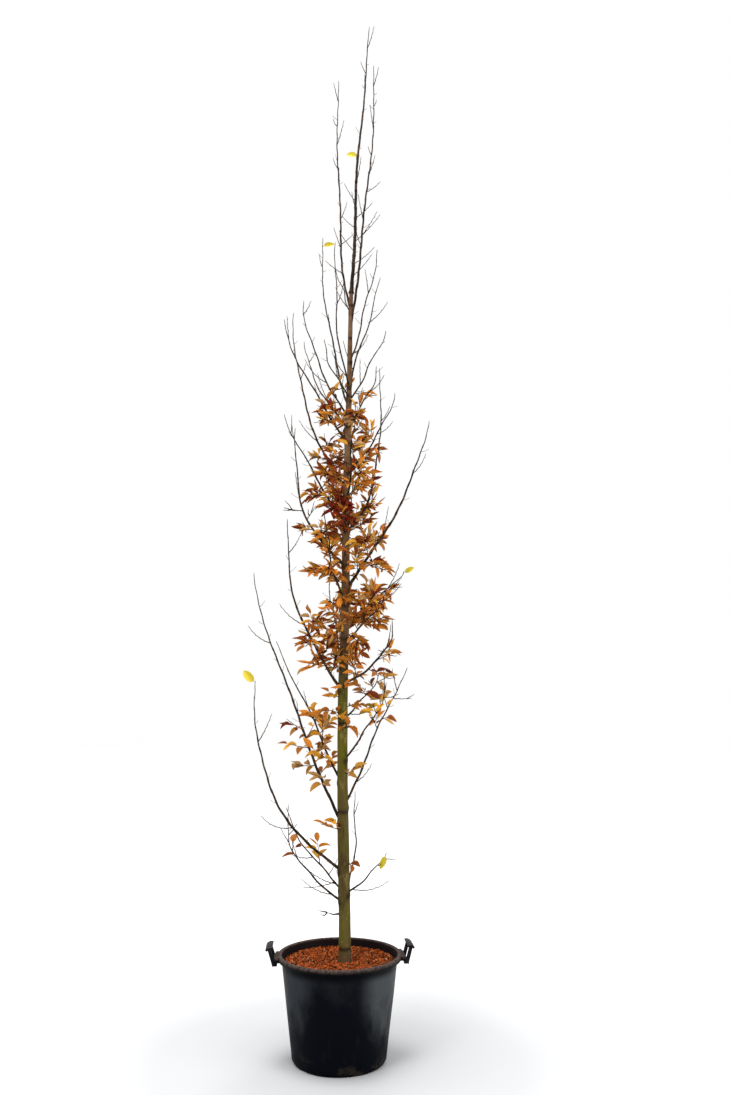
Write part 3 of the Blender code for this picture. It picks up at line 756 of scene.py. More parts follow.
def makeLimbs(grown):
    rng = random.Random(21)
    thick, fine = bmesh.new(), bmesh.new()
    for limb, _ in grown:
        length = limbLength(limb)
        shares = evenShares(0, 1, length, limbLook["ringStep"])
        shape = bmesh.new()
        wrapTube(shape, [limbPoint(limb, t) for t in shares], [limbSize(limb, t) for t in shares],
                 limbLook["sides"])
        bmesh.ops.recalc_face_normals(shape, faces=shape.faces)
        pourInto(thick, shape)
        shape = bmesh.new()
        addBud(shape, rng, limbPoint(limb, 1), limbHeading(limb, 1), Vector((0, 0, 1)), 0.1)
        travelled, order = limb.leafTo + 0.03, 0
        while travelled < length * 0.99:
            t = travelled / length
            heading = limbHeading(limb, t)
            across = turnedAcross(rng, heading, order, 0.7)
            root = limbPoint(limb, t) + across * limbSize(limb, t) * 0.7
            addBud(shape, rng, root, heading, across, 0.45)
            travelled += limbLook["budEvery"] * rng.uniform(0.8, 1.25)
            order += 1
        travelled, order = 0.05, 0
        while travelled < length * 0.9:
            t = travelled / length
            heading = limbHeading(limb, t)
            across = turnedAcross(rng, heading, order, 0.8)
            along = (heading * 0.6 + across).normalized()
            size = rng.uniform(*limbLook["spurLength"])
            addShoot(shape, rng, limbPoint(limb, t), along, size + limbSize(limb, t), limbLook["spurRadius"])
            travelled += limbLook["spurEvery"] * rng.uniform(0.6, 1.5)
            order += 1
        bmesh.ops.recalc_face_normals(shape, faces=shape.faces)
        pourInto(fine, shape)
    return thick, fine


def twigCurve(points, share):
    # a smooth line through a twig's three points
    root, middle, tip = points
    control = middle * 2 - (root + tip) / 2
    first, second = root.lerp(control, share), control.lerp(tip, share)
    return first.lerp(second, share)


def settleTwig(twig):
    # the solid's stem is made of straight runs, so the twig is moved onto the real limb
    shift = limbPoint(twig["limb"], twig["t"]) - stemAt(twig["limb"], twig["t"])
    twig["points"] = [point + shift for point in twig["points"]]


def twigFork(rng, points, share, order, length, slant):
    # a finer twig on a twig, as three points
    heading = (points[2] - points[0]).normalized()
    across = turnedAcross(rng, heading, order, 0.8)
    along = (heading * math.cos(slant) + across * math.sin(slant)).normalized()
    root = twigCurve(points, share)
    middle = root + along * length / 2
    tip = middle + (along + heading * 0.3 + Vector((0, 0, 0.15))).normalized() * length / 2
    return {"points": [root, middle, tip], "leafy": True}


def atHeight(rows, height, column=1):
    return float(np.interp(height, [row[0] for row in rows], [row[column] for row in rows]))


def offTrunk(point):
    centre, _ = trunkAt(point.z)
    return math.hypot(point.x - centre.x, point.y - centre.y)


def forkTwigs(twigs):
    rng = random.Random(12)
    look = twigLook
    forks = []
    for twig in twigs:
        wanted = atHeight(sprayLook["fullness"], twig["points"][1].z) + rng.random()
        count = int(wanted) if twig["leafy"] else 0
        for order in range(count):
            forks.append(twigFork(rng, twig["points"], rng.uniform(0.3, 0.8), order,
                                  rng.uniform(*look["forkLength"]), rng.uniform(*look["forkSlant"])))
    return forks


def makeTwigs(twigs, fine):
    rng = random.Random(33)
    look = twigLook
    shape = bmesh.new()
    for twig in twigs:
        points = twig["points"]
        length = (points[1] - points[0]).length * 2
        rings = max(5, round(length / look["ringStep"]))
        side = (points[1] - points[0]).orthogonal().normalized()
        centres, radii = [], []
        for ring in range(rings):
            share = ring / (rings - 1)
            sway = look["zigzag"] * (0 if ring in (0, rings - 1) else (-1) ** ring)
            centres.append(twigCurve(points, share) + side * sway)
            thick = twig.get("radius", look["rootRadius"])
            radii.append(thick + (look["tipRadius"] - thick) * share)
        wrapTube(shape, centres, radii, look["sides"])
        heading = (points[2] - points[1]).normalized()
        addBud(shape, rng, centres[-1], heading, side, 0.1)
        if not twig["leafy"]:
            for ring in range(2, rings - 1, 2):
                across = turnedAcross(rng, heading, ring // 2, 0.4)
                addBud(shape, rng, centres[ring] + across * radii[ring] * 0.6, heading, across, 0.5)
    bmesh.ops.recalc_face_normals(shape, faces=shape.faces)
    pourInto(fine, shape)


def paintLimbs(name, light, dark):
    paint = Paint(name, 0.7, 0.05)
    patches = paint.speckle(60, (1, 1, 0.3), 4)
    paint.set("Base Color", paint.blend(paint.between(patches, 0.38, 0.64), fromScreen(*dark),
                                        fromScreen(*light)))
    paint.emboss(patches, 0.4, 0.0008)
    return paint.material


# ---- leaves

leafLook = {
    "rows": 12,
    "columns": 4,
    "stalk": 0.007,
    "stalkRadius": 0.0006,
    "teeth": 0.05,
    "pleat": 0.012,
    "veins": 6,
    # the least and the most of a dry leaf's width for its length, curl, fold, bend and twist
    "low": {"width": (0.44, 0.6), "curl": (0.4, 1.7), "fold": (0.1, 0.6), "bend": (-0.4, 0.9),
            "twist": (-0.9, 0.9)},
    "high": {"width": (0.30, 0.46), "curl": (0.8, 2.9), "fold": (0.1, 1.0), "bend": (-0.9, 0.9),
             "twist": (-1.4, 1.4)},
    "alone": {"width": (0.44, 0.50), "curl": (0.5, 0.9), "fold": (0.1, 0.3), "bend": (0.4, 0.9),
              "twist": (-0.3, 0.3)},
}

sprayLook = {
    "spacing": 0.0125,
    "first": 0.12,
    "length": (0.041, 0.063),
    "smaller": 0.07,  # by how much the high leaves are smaller
    "angle": (1.15, 0.55),  # off the twig, at its foot and at its tip
    "angleSpread": 0.3,
    "droop": (-0.45, 0.75),
    "roll": 1.1,
    "reach": 0.006,  # how far past the solids' box a leaf may point
    "hold": 0.5,  # how likely the next leaf keeps its spray's tint
    "holdSet": 0.85,  # the same, where the spray's tint is set
    "changing": (1.20, 1.60),  # heights between which the low leaves give way to the high ones
    # height, and how far from the trunk's middle leaves still hang on
    "widths": (
        (0.60, 0.02),
        (0.70, 0.07),
        (0.78, 0.22),
        (1.08, 0.21),
        (1.18, 0.24),
        (1.32, 0.21),
        (1.49, 0.21),
        (1.84, 0.20),
        (2.02, 0.19),
        (2.14, 0.18),
        (2.34, 0.15),
        (2.48, 0.13),
        (2.60, 0.11),
        (2.75, 0.09),
    ),
    # height, finer twigs on each leafy twig, share of its leaves that have fallen
    "fullness": (
        (0.50, 0.0, 0.55),
        (0.92, 0.0, 0.45),
        (1.02, 1.0, 0.32),
        (1.15, 0.5, 0.38),
        (1.35, 0.5, 0.38),
        (1.45, 1.2, 0.20),
        (1.55, 3.0, 0.08),
        (1.70, 4.2, 0.04),
        (1.87, 5.0, 0.04),
        (2.04, 3.8, 0.05),
        (2.20, 3.8, 0.06),
        (2.39, 4.2, 0.06),
        (2.55, 4.2, 0.08),
        (2.66, 0.6, 0.40),
        (2.80, 0.0, 0.70),
    ),
}

# a leaf's colour on screen, and how often a spray takes it low and high in the crown
leafTints = {
    "copper": ((156, 96, 34), 5, 8),
    "rust": ((134, 70, 22), 4, 6),
    "russet": ((100, 39, 16), 1, 3),
    "orange": ((192, 118, 38), 4, 8),
    "gold": ((204, 148, 50), 8, 3),
    "ochre": ((168, 118, 46), 4, 4),
    "tan": ((162, 122, 72), 3, 4),
    "olive": ((124, 98, 38), 1, 0),
    "crimson": ((118, 36, 18), 0, 0),
    "yellow": ((184, 166, 52), 0, 0),
}


def leafVert(u, v, size, dried):
    # u runs from the leaf's foot to its tip, v from one edge to the other
    look = leafLook
    half = size * dried["width"] / 2 * 2.68 * u ** 0.55 * (1 - u) ** 0.95
    half *= 1 + look["teeth"] * (1 if round(u * look["rows"]) % 2 else -1) * abs(v)
    roll = dried["curl"] * v
    side = half * math.sin(roll) / dried["curl"]
    lift = half * (1 - math.cos(roll)) / dried["curl"] + dried["fold"] * half * abs(v)
    lift += look["pleat"] * size * math.cos(math.tau * look["veins"] * (u - 0.22 * abs(v))) * abs(v) ** 0.5
    bend = dried["bend"] * u
    centre = Vector((math.sin(bend), 0, math.cos(bend) - 1)) * size / dried["bend"]
    normal = Vector((math.sin(bend), 0, math.cos(bend)))
    across = Vector((0, 1, 0))
    twist = dried["twist"] * u
    sideways = across * math.cos(twist) + normal * math.sin(twist)
    upward = normal * math.cos(twist) - across * math.sin(twist)
    return centre + sideways * side + upward * lift


def highShare(height):
    low, high = sprayLook["changing"]
    return min(max((height - low) / (high - low), 0), 1)


def addLeaf(shape, rng, place, size, kind):
    look = leafLook
    dried = {key: rng.uniform(*limits) for key, limits in look[kind].items()}
    if abs(dried["bend"]) < 0.05:
        dried["bend"] = 0.05
    made = bmesh.ops.create_grid(shape, x_segments=look["rows"], y_segments=look["columns"],
                                 size=1)["verts"]
    for vert in made:
        u, v = (vert.co.x + 1) / 2, vert.co.y
        vert.co = place @ (leafVert(min(u, 1), v, size, dried) + Vector((look["stalk"], 0, 0)))
    bmesh.ops.remove_doubles(shape, verts=made, dist=1e-6)


def addStalk(shape, place):
    along = place.to_3x3() @ Vector((1, 0, 0))
    root = place.translation
    reach = leafLook["stalk"] * 1.4
    radius = leafLook["stalkRadius"]
    wrapTube(shape, [root, root + along * reach / 2, root + along * reach], [radius] * 3, 3)


def seatLeaf(rng, root, along):
    # X runs along the leaf, and Z stands off its upper face
    upright = Vector((0, 0, 1)) if abs(along.z) < 0.95 else Vector((0, 1, 0))
    face = (upright - along * along.dot(upright)).normalized()
    face.rotate(Matrix.Rotation(rng.uniform(-sprayLook["roll"], sprayLook["roll"]), 3, along))
    side = face.cross(along)
    return Matrix.Translation(root) @ Matrix((along, side, face)).transposed().to_4x4()


def sprayLeaves(rng, points, spacing):
    # leaves in two ranks along a twig, and one at its tip
    look = sprayLook
    length = (points[1] - points[0]).length * 2
    count = max(2, round(length / spacing))
    leaves = []
    for order in range(count + 1):
        if rng.random() < atHeight(look["fullness"], points[1].z, 2):
            continue
        share = look["first"] + (1 - look["first"]) * order / count
        heading = (points[2] - points[1]).lerp(points[1] - points[0], max(0, 1 - share * 1.5)).normalized()
        flat = heading.cross(Vector((0, 0, 1)))
        flat = flat.normalized() if flat.length > 0.1 else heading.orthogonal().normalized()
        angle = look["angle"][0] + (look["angle"][1] - look["angle"][0]) * share
        angle += rng.uniform(-look["angleSpread"], look["angleSpread"])
        if order == count:
            angle = 0
        rank = flat if order % 2 else -flat
        droop = Vector((0, 0, -1)) * rng.uniform(*look["droop"])
        along = (heading * math.cos(angle) + rank * math.sin(angle) + droop).normalized()
        root = twigCurve(points, share)
        size = rng.uniform(*look["length"]) * (1 - look["smaller"] * highShare(root.z))
        if offTrunk(root) > atHeight(look["widths"], root.z):
            continue
        if all(low - look["reach"] < value < high + look["reach"]
               for value, low, high in zip(root + along * size, *cadBox)):
            leaves.append((seatLeaf(rng, root, along), size))
    return leaves


def pickTint(rng, height, usual, hold):
    # most leaves of a spray share its tint, and the rest take another one
    if usual and rng.random() < hold:
        return usual
    weights = [low + (high - low) * highShare(height) for _, low, high in leafTints.values()]
    return rng.choices(list(leafTints), weights)[0]


# short spurs on the trunk: height, turn about Z in degrees, length, and their leaves' usual tint
trunkSpurs = (
    (0.535, 186, 0.052, None),
    (0.715, 335, 0.045, "rust"),
    (0.850, 205, 0.085, "orange"),
    (0.870, 230, 0.060, "gold"),
    (1.070, 320, 0.060, "ochre"),
    (1.250, 300, 0.060, "copper"),
    (1.285, 250, 0.070, "gold"),
    (1.310, 215, 0.075, "copper"),
    (2.060, 262, 0.070, "rust"),
    (2.075, 240, 0.080, "crimson"),
    (2.090, 283, 0.070, "crimson"),
    (2.105, 255, 0.085, "crimson"),
    (2.120, 270, 0.080, "crimson"),
    (2.135, 230, 0.085, "crimson"),
    (2.150, 262, 0.085, "crimson"),
    (2.165, 245, 0.085, "russet"),
    (2.180, 262, 0.080, "crimson"),
    (2.200, 240, 0.085, "rust"),
    (2.345, 200, 0.075, "russet"),
    (2.375, 215, 0.080, "rust"),
)
spurRule = {
    "from": 1.33,
    "to": 2.62,
    "step": 0.043,
    "turn": 137.5,
    "length": (0.030, 0.075),
}

# leaves that still hang on alone: limb, share of its length, turn about Y in degrees, length
loneLeaves = (
    ("05", 0.995, 222, 0.072),
    ("middle", 0.50, 205, 0.058),
    ("29", 0.955, -15, 0.054),
    ("15", 0.97, -30, 0.052),
    ("03", 0.97, 112, 0.056),
)


# fine bare shoots on the leading stems: stem, share of its length, turn about Z in degrees, length
fineShoots = (
    ("middle", 0.060, 340, 0.130),
    ("middle", 0.105, 30, 0.150),
    ("middle", 0.150, 200, 0.110),
    ("middle", 0.185, 350, 0.165),
    ("middle", 0.235, 150, 0.100),
    ("middle", 0.270, 10, 0.110),
    ("middle", 0.330, 215, 0.090),
    ("right", 0.330, 320, 0.120),
    ("right", 0.500, 20, 0.090),
    ("left", 0.160, 170, 0.110),
    ("left", 0.290, 20, 0.080),
)


def shootTwigs():
    twigs = []
    for name, share, turn, length in fineShoots:
        limb = next(limb for limb in leaders if limb.name == name)
        side = Vector((math.cos(math.radians(turn)), math.sin(math.radians(turn)), 0))
        heading = limbHeading(limb, share)
        root = limbPoint(limb, share)
        middle = root + (heading + side * 1.1).normalized() * length / 2
        tip = middle + (heading + side * 0.8).normalized() * length / 2
        twigs.append({"points": [root, middle, tip], "leafy": False, "radius": 0.0019})
    return twigs


def trunkTwigs(rng):
    spurs = [(height, math.radians(turn), length, tint) for height, turn, length, tint in trunkSpurs]
    steps = int((spurRule["to"] - spurRule["from"]) / spurRule["step"])
    for order in range(steps):
        height = spurRule["from"] + order * spurRule["step"] + rng.uniform(-0.01, 0.01)
        spurs.append((height, math.radians(order * spurRule["turn"]), rng.uniform(*spurRule["length"]), ""))
    twigs = []
    for height, turn, length, tint in spurs:
        root, radius = trunkAt(height)
        out = Vector((math.cos(turn), math.sin(turn), -0.05 if tint is None else 0.35)).normalized()
        start = root + out * radius * 0.8
        middle = start + out * (length / 2)
        tip = middle + (out + Vector((0, 0, rng.uniform(-0.3, 0.6)))).normalized() * length / 2
        if tint is None:
            twigs += deadTwig(start, middle, tip)
        else:
            twigs.append({"points": [start, middle, tip], "leafy": True, "tint": tint})
    return twigs


def deadTwig(start, middle, tip):
    # a stout bare twig with two forks
    made = [{"points": [start, middle, tip], "leafy": False, "radius": 0.0046}]
    along = (middle - start).normalized()
    for rise, reach in ((0.30, 0.036), (-0.90, 0.028)):
        bent = (along + Vector((0, 0, rise))).normalized()
        elbow = tip + bent * reach / 2
        made.append({"points": [tip, elbow, elbow + (along + Vector((0, 0, 0.2))).normalized() * reach / 2],
                     "leafy": False, "radius": 0.0033})
    return made


def makeLeaves(twigs, fine):
    rng = random.Random(84)
    sprays = {name: bmesh.new() for name in leafTints}
    stalks = bmesh.new()
    count = 0
    for twig in twigs:
        if not twig["leafy"]:
            continue
        given = twig.get("tint")
        tint, hold = given, sprayLook["holdSet"] if given else sprayLook["hold"]
        for place, size in sprayLeaves(rng, twig["points"], sprayLook["spacing"]):
            tint = pickTint(rng, place.translation.z, given or tint, hold)
            kind = "high" if rng.random() < highShare(place.translation.z) else "low"
            addLeaf(sprays[tint], rng, place, size, kind)
            addStalk(stalks, place)
            count += 1
    for limbName, share, turn, size in loneLeaves:
        limb = next(limb for limb in sideLimbs + leaders if limb.name == limbName)
        along = Matrix.Rotation(math.radians(turn), 3, "Y") @ Vector((1, 0, 0))
        side = Vector((0, -1, 0)).cross(along)
        place = Matrix.Translation(limbPoint(limb, share)) \
            @ Matrix((along, side, Vector((0, -1, 0)))).transposed().to_4x4()
        addLeaf(sprays["yellow"], rng, place, size, "alone")
        addStalk(stalks, place)
        count += 1
    bmesh.ops.recalc_face_normals(stalks, faces=stalks.faces)
    pourInto(fine, stalks)
    masses = [name for name in nodeNames if name.startswith("foliage")]
    for name, shape in sprays.items():
        paint = plainPaint("leaf " + name, leafTints[name][0], 0.6, 0.06)
        finishPiece("leaves_" + name, shape, [paint], masses)
    print(count, "leaves")


# ---- container

potLook = {
    "height": 0.388,
    "footRadius": 0.178,
    "footChamfer": 0.010,
    "wallFoot": 0.1835,
    "wallTop": 0.2280,
    "wall": 0.0035,
    "floor": 0.005,
    "heelHeight": 0.030,
    "heelInset": 0.016,
    "lipRadius": 0.244,
    "lipDepth": 0.020,
    "lipWidth": 0.0155,
    "lipCorner": 0.005,
    "steps": 160,
    "wallRings": 26,
    "dent": 0.0012,
    "footBump": 0.0020,
    "notchCount": 12,
    "notchSize": (0.012, 0.024, 0.020),
    "soilBelowLip": 0.030,
    # the wall's lean, and where its inner face ends once that lean is taken off
    "wallSlope": 0.1243,
    "innerReach": (0.1798, 0.1808),
}

handleLook = {
    # side: turn about Z in degrees, and how far out its legs stand at their feet and at the top
    "right": (5.5, 0.2610, 0.2795),
    "left": (183.0, 0.2555, 0.2775),
    "top": 0.4225,
    "root": 0.355,
    "legSpacing": 0.088,
    "legSize": (0.0125, 0.0160),
    "footSize": (0.0200, 0.0200, 0.022),
    "gripLength": 0.110,
    "gripWidth": 0.030,
    "gripRise": 0.005,
    "gripThickness": 0.0075,
    "bracketSize": (0.019, 0.114, 0.017),
    "bracketRadius": 0.2475,
    "bracketTop": 0.3835,
    "bracketCuts": 14,
    "round": 0.0018,
}

soilLook = {
    "rings": 26,
    "steps": 120,
    "mound": 0.0035,
    "chips": 9400,
    "chipLength": (0.003, 0.012),
    "chipWidth": (0.22, 0.65),
    "chipThickness": (0.15, 0.4),
    "tilt": 0.65,
    # tint on screen and its share
    "tints": {
        "red": ((154, 72, 30), 0.40),
        "brown": ((106, 53, 22), 0.30),
        "dark": ((32, 13, 6), 0.18),
        "pale": ((196, 130, 88), 0.12),
    },
}


def paintPot():
    look = potLook
    paint = Paint("container plastic", 0.5, 0.03)
    cloud = paint.speckle(6, (1, 1, 0.8), 5)
    scuffs = paint.speckle(26, (1, 1, 0.25), 6, 0.7)
    scratches = paint.speckle(38, (1, 1, 0.05), 3, 0.5, (0.45, 0.5, 0))
    across, back, height = paint.apart()
    # the upper half is greyer with dust; the flanks carry a painted sheen, the right flank is lighter still as
    # painted light from the right, and the front middle stays darker as painted shade
    flank = paint.between(across * across, 0.004, 0.022)
    smears = paint.speckle(13, (1, 1, 0.4), 4, 0.65, (0.5, 0.4, 0))
    dust_and_sheen_share = paint.between(height + cloud * 0.4 + smears * 0.3 + flank * 0.12, 0.575, 0.72)
    # painted light: the right side paler than the left, and the flanks paler than the darker front middle
    paler_top = paint.blend(paint.between(across, -0.05, 0.12), fromScreen(40, 43, 47), fromScreen(62, 65, 67))
    paler_top = paint.blend(flank, fromScreen(19, 21, 25), paler_top)
    base = paint.blend(dust_and_sheen_share, fromScreen(4, 6, 13), paler_top)
    base = paint.blend(paint.between(cloud, 0.54, 0.66) * 0.6, base, fromScreen(5, 6, 10))
    base = paint.blend(paint.between(scratches, 0.65, 0.75) * 0.12, base, fromScreen(50, 53, 58))
    base = paint.blend(paint.between(scuffs, 0.62, 0.80) * 0.25, base, fromScreen(62, 60, 58))
    shade = paint.between(height, 0.326, 0.360)
    base = paint.blend(shade * 0.9, base, fromScreen(3, 3, 5))
    lip = paint.between(height, 0.3725, 0.387)
    grit = paint.speckle(90, (1, 1, 0.6), 5, 0.7)
    base = paint.blend(lip * (paint.between(grit, 0.36, 0.62) * 0.6 + 0.2), base, fromScreen(88, 74, 68))
    # the inside of the wall, above the substrate, is darkened with a painted shade
    reach = (across * across + back * back) ** 0.5 - height * look["wallSlope"]
    inside = (1 - paint.between(reach, *look["innerReach"])) * paint.between(height, 0.340, 0.350)
    base = paint.blend(inside * 0.9, base, fromScreen(22, 14, 14))
    mud = paint.speckle(16, (1, 1, 1.6), 5, 0.65)
    foot = (1 - paint.between(height, 0.004, 0.085)) * paint.between(mud + flank * 0.06, 0.53, 0.66)
    paint.set("Base Color", paint.blend(foot * 0.45, base, fromScreen(54, 48, 39)))
    paint.set("Roughness", paint.between(scuffs, 0.30, 0.75) * 0.2 + 0.42 + lip * 0.2)
    paint.emboss(paint.speckle(180, (1, 1, 1), 3) + scratches * 0.5, 0.15, 0.0008)
    return paint.material


def paintHandle():
    paint = Paint("handle plastic", 0.5, 0.05)
    cloud = paint.speckle(30, (1, 1, 1), 4)
    base = paint.blend(paint.between(cloud, 0.40, 0.66), fromScreen(10, 10, 13), fromScreen(30, 27, 28))
    # the grip's top is paler with dust
    paler_top = paint.between(paint.height(), 0.418, 0.430) * paint.between(cloud, 0.40, 0.60)
    paint.set("Base Color", paint.blend(paler_top * 0.4, base, fromScreen(70, 60, 54)))
    paint.emboss(cloud, 0.2, 0.0008)
    return paint.material


def arc(centre, radius, start, end, steps):
    angles = (math.radians(start + (end - start) * i / steps) for i in range(steps + 1))
    return [(centre[0] + radius * math.cos(a), centre[1] + radius * math.sin(a)) for a in angles]


def wallRadius(height):
    look = potLook
    share = (height - look["footChamfer"]) / (look["height"] - look["lipDepth"] - look["footChamfer"])
    return look["wallFoot"] + (look["wallTop"] - look["wallFoot"]) * share


def spinProfile(profile, steps):
    shape = bmesh.new()
    verts = [shape.verts.new((radius, 0, height)) for radius, height in profile]
    edges = [shape.edges.new(pair) for pair in zip(verts, verts[1:])]
    bmesh.ops.spin(shape, geom=verts + edges, cent=(0, 0, 0), axis=(0, 0, 1), angle=math.tau,
                   steps=steps, use_merge=True)
    bmesh.ops.remove_doubles(shape, verts=shape.verts, dist=1e-6)
    bmesh.ops.recalc_face_normals(shape, faces=shape.faces)
    return shape


def potProfile():
    look = potLook
    underLip = look["height"] - look["lipDepth"]
    corner = look["lipCorner"]
    low = (look["lipRadius"] - corner, underLip + corner)
    high = (look["lipRadius"] - corner, look["height"] - corner)
    inner = (look["lipRadius"] - look["lipWidth"] + 0.003, look["height"] - 0.003)
    foot = look["footChamfer"]
    wall = [(wallRadius(foot + (underLip - foot) * i / look["wallRings"]),
             foot + (underLip - foot) * i / look["wallRings"]) for i in range(1, look["wallRings"] + 1)]
    heel = wallRadius(look["heelHeight"]) - look["wall"]
    inside = wallRadius(look["height"] - 2 * corner) - look["wall"]
    return [(0, 0), (look["footRadius"] - 0.004, 0)] \
        + arc((look["footRadius"] - 0.004, 0.004), 0.004, -90, -20, 3) \
        + [(look["wallFoot"], foot)] + wall + arc(low, corner, -90, 0, 5) + arc(high, corner, 0, 90, 7) \
        + arc(inner, 0.003, 90, 180, 4) \
        + [(inside, look["height"] - 2 * corner), (heel, look["heelHeight"]),
           (heel - look["heelInset"], look["floor"]), (0, look["floor"])]


def makePot(paint):
    look = potLook
    shape = spinProfile(potProfile(), look["steps"])
    for vert in shape.verts:
        radius = math.hypot(vert.co.x, vert.co.y)
        if radius > look["footRadius"] * 0.98 and 0.02 < vert.co.z < 0.36:
            fade = math.sin(math.pi * (vert.co.z - 0.02) / 0.34)
            push = noise.noise(Vector((vert.co.x * 5, vert.co.y * 5, vert.co.z * 6)))
            scale = 1 + fade * look["dent"] * push / radius
            vert.co.x *= scale
            vert.co.y *= scale
        elif radius > look["footRadius"] * 0.96 and vert.co.z <= 0.02:
            bump = noise.noise(Vector((vert.co.x * 60, vert.co.y * 60, 2.5)))
            scale = 1 + look["footBump"] * bump / radius
            vert.co.x *= scale
            vert.co.y *= scale
    mesh = bpy.data.meshes.new("container")
    shape.to_mesh(mesh)
    shape.free()
    pot = bpy.data.objects.new("container", mesh)
    bpy.context.scene.collection.objects.link(pot)
    cutters = bpy.data.collections.new("notches")
    for index in range(look["notchCount"]):
        notch = bmesh.new()
        turn = Matrix.Rotation(math.tau * (index + 0.5) / look["notchCount"], 4, "Z")
        place = turn @ Matrix.Translation((look["wallFoot"], 0, 0)) @ Matrix.Diagonal((*look["notchSize"], 1))
        bmesh.ops.create_cube(notch, size=1, matrix=place)
        bmesh.ops.bevel(notch, geom=notch.edges, offset=0.002, segments=2, profile=0.5,
                        affect="EDGES", material=-1)
        cutterMesh = bpy.data.meshes.new("notch")
        notch.to_mesh(cutterMesh)
        notch.free()
        cutters.objects.link(bpy.data.objects.new("notch", cutterMesh))
    cut = pot.modifiers.new("notches", "BOOLEAN")
    cut.operand_type = "COLLECTION"
    cut.collection = cutters
    cut.solver = "EXACT"
    bpy.context.view_layer.update()
    graph = bpy.context.evaluated_depsgraph_get()
    shape = bmesh.new()
    shape.from_mesh(bpy.data.meshes.new_from_object(pot.evaluated_get(graph)))
    for thing in list(cutters.objects) + [pot]:
        bpy.data.objects.remove(thing, do_unlink=True)
    bpy.data.collections.remove(cutters)
    finishPiece("container_shell", shape, [paint], ["pot"], 35)


def bevelBlock(shape, size, place, width):
    made = bmesh.ops.create_cube(shape, size=1, matrix=place @ Matrix.Diagonal((*size, 1)))["verts"]
    edges = list({edge for vert in made for edge in vert.link_edges})
    bmesh.ops.bevel(shape, geom=edges, offset=width, segments=2, profile=0.5, affect="EDGES",
                    material=-1)


def makeHandle(side, paints):
    look = handleLook
    turned, rootRadius, topRadius = look[side]
    shape = bmesh.new()
    addBracket(shape)
    for face in shape.faces:
        face.material_index = 1
    lean = Vector((topRadius - rootRadius, 0, look["top"] - look["root"]))
    tilt = Matrix.Rotation(math.atan2(lean.x, lean.z), 4, "Y")
    legHeight = lean.length - look["gripThickness"] * 0.6
    for end in (-1, 1):
        foot = Vector((rootRadius, end * look["legSpacing"] / 2, look["root"]))
        place = Matrix.Translation(foot) @ tilt @ Matrix.Translation((0, 0, legHeight / 2))
        bevelBlock(shape, (look["legSize"][0] * 0.55, look["legSize"][1], legHeight), place, look["round"] * 0.7)
        for flange in (-1, 1):
            rim = place @ Matrix.Translation((0, flange * look["legSize"][1] * 0.38, 0))
            bevelBlock(shape, (look["legSize"][0], look["legSize"][1] * 0.22, legHeight), rim,
                       look["round"] * 0.5)
        rib = place @ Matrix.Translation((0, 0, legHeight * 0.1))
        bevelBlock(shape, (look["legSize"][0], look["legSize"][1], 0.003), rib, look["round"] * 0.4)
        block = Matrix.Translation(foot + Vector((-0.002, 0, look["footSize"][2] / 2)))
        bevelBlock(shape, look["footSize"], block, look["round"])
    addGrip(shape, Matrix.Translation((topRadius, 0, look["top"])) @ tilt)
    turn = Matrix.Rotation(math.radians(turned), 4, "Z")
    bmesh.ops.transform(shape, matrix=turn, verts=shape.verts)
    bmesh.ops.recalc_face_normals(shape, faces=shape.faces)
    finishPiece("handle_" + side + "_moulding", shape, paints, ["handle_" + side], 40)


def addBracket(shape):
    # a bar that follows the lip's curve, between and past the two legs
    look = handleLook
    bevelBlock(shape, look["bracketSize"], Matrix.Identity(4), look["round"])
    lengthwise = [edge for edge in shape.edges if abs(edge.verts[0].co.y - edge.verts[1].co.y) > 0.05]
    bmesh.ops.subdivide_edges(shape, edges=lengthwise, cuts=look["bracketCuts"], use_grid_fill=True)
    for vert in shape.verts:
        angle, radius = vert.co.y / look["bracketRadius"], vert.co.x + look["bracketRadius"]
        vert.co = Vector((radius * math.cos(angle), radius * math.sin(angle),
                          vert.co.z + look["bracketTop"] - look["bracketSize"][2] / 2))


def addGrip(shape, place):
    # an arched saddle, extruded from its outline and bevelled
    look = handleLook
    bend = (look["gripWidth"] ** 2 / 4 + look["gripRise"] ** 2) / (2 * look["gripRise"])
    half = math.degrees(math.asin(look["gripWidth"] / 2 / bend))
    outer = arc((0, -bend), bend, 90 + half, 90 - half, 10)
    inner = arc((0, -bend), bend - look["gripThickness"], 90 - half, 90 + half, 8)
    verts = [shape.verts.new((x, -look["gripLength"] / 2, z)) for x, z in outer + inner]
    face = shape.faces.new(verts)
    swept = bmesh.ops.extrude_face_region(shape, geom=[face])["geom"]
    far = [item for item in swept if isinstance(item, bmesh.types.BMVert)]
    bmesh.ops.translate(shape, verts=far, vec=(0, look["gripLength"], 0))
    made = verts + far
    edges = list({edge for vert in made for edge in vert.link_edges
                  if abs(edge.verts[0].co.y - edge.verts[1].co.y) < 1e-5})
    bmesh.ops.transform(shape, matrix=place, verts=made)
    bmesh.ops.bevel(shape, geom=edges, offset=look["round"], segments=2, profile=0.5, affect="EDGES",
                    material=-1)


def soilTop(x, y):
    look = soilLook
    base = potLook["height"] - potLook["soilBelowLip"]
    return base + look["mound"] * (noise.noise(Vector((x * 22, y * 22, 0.4))) - 0.35)


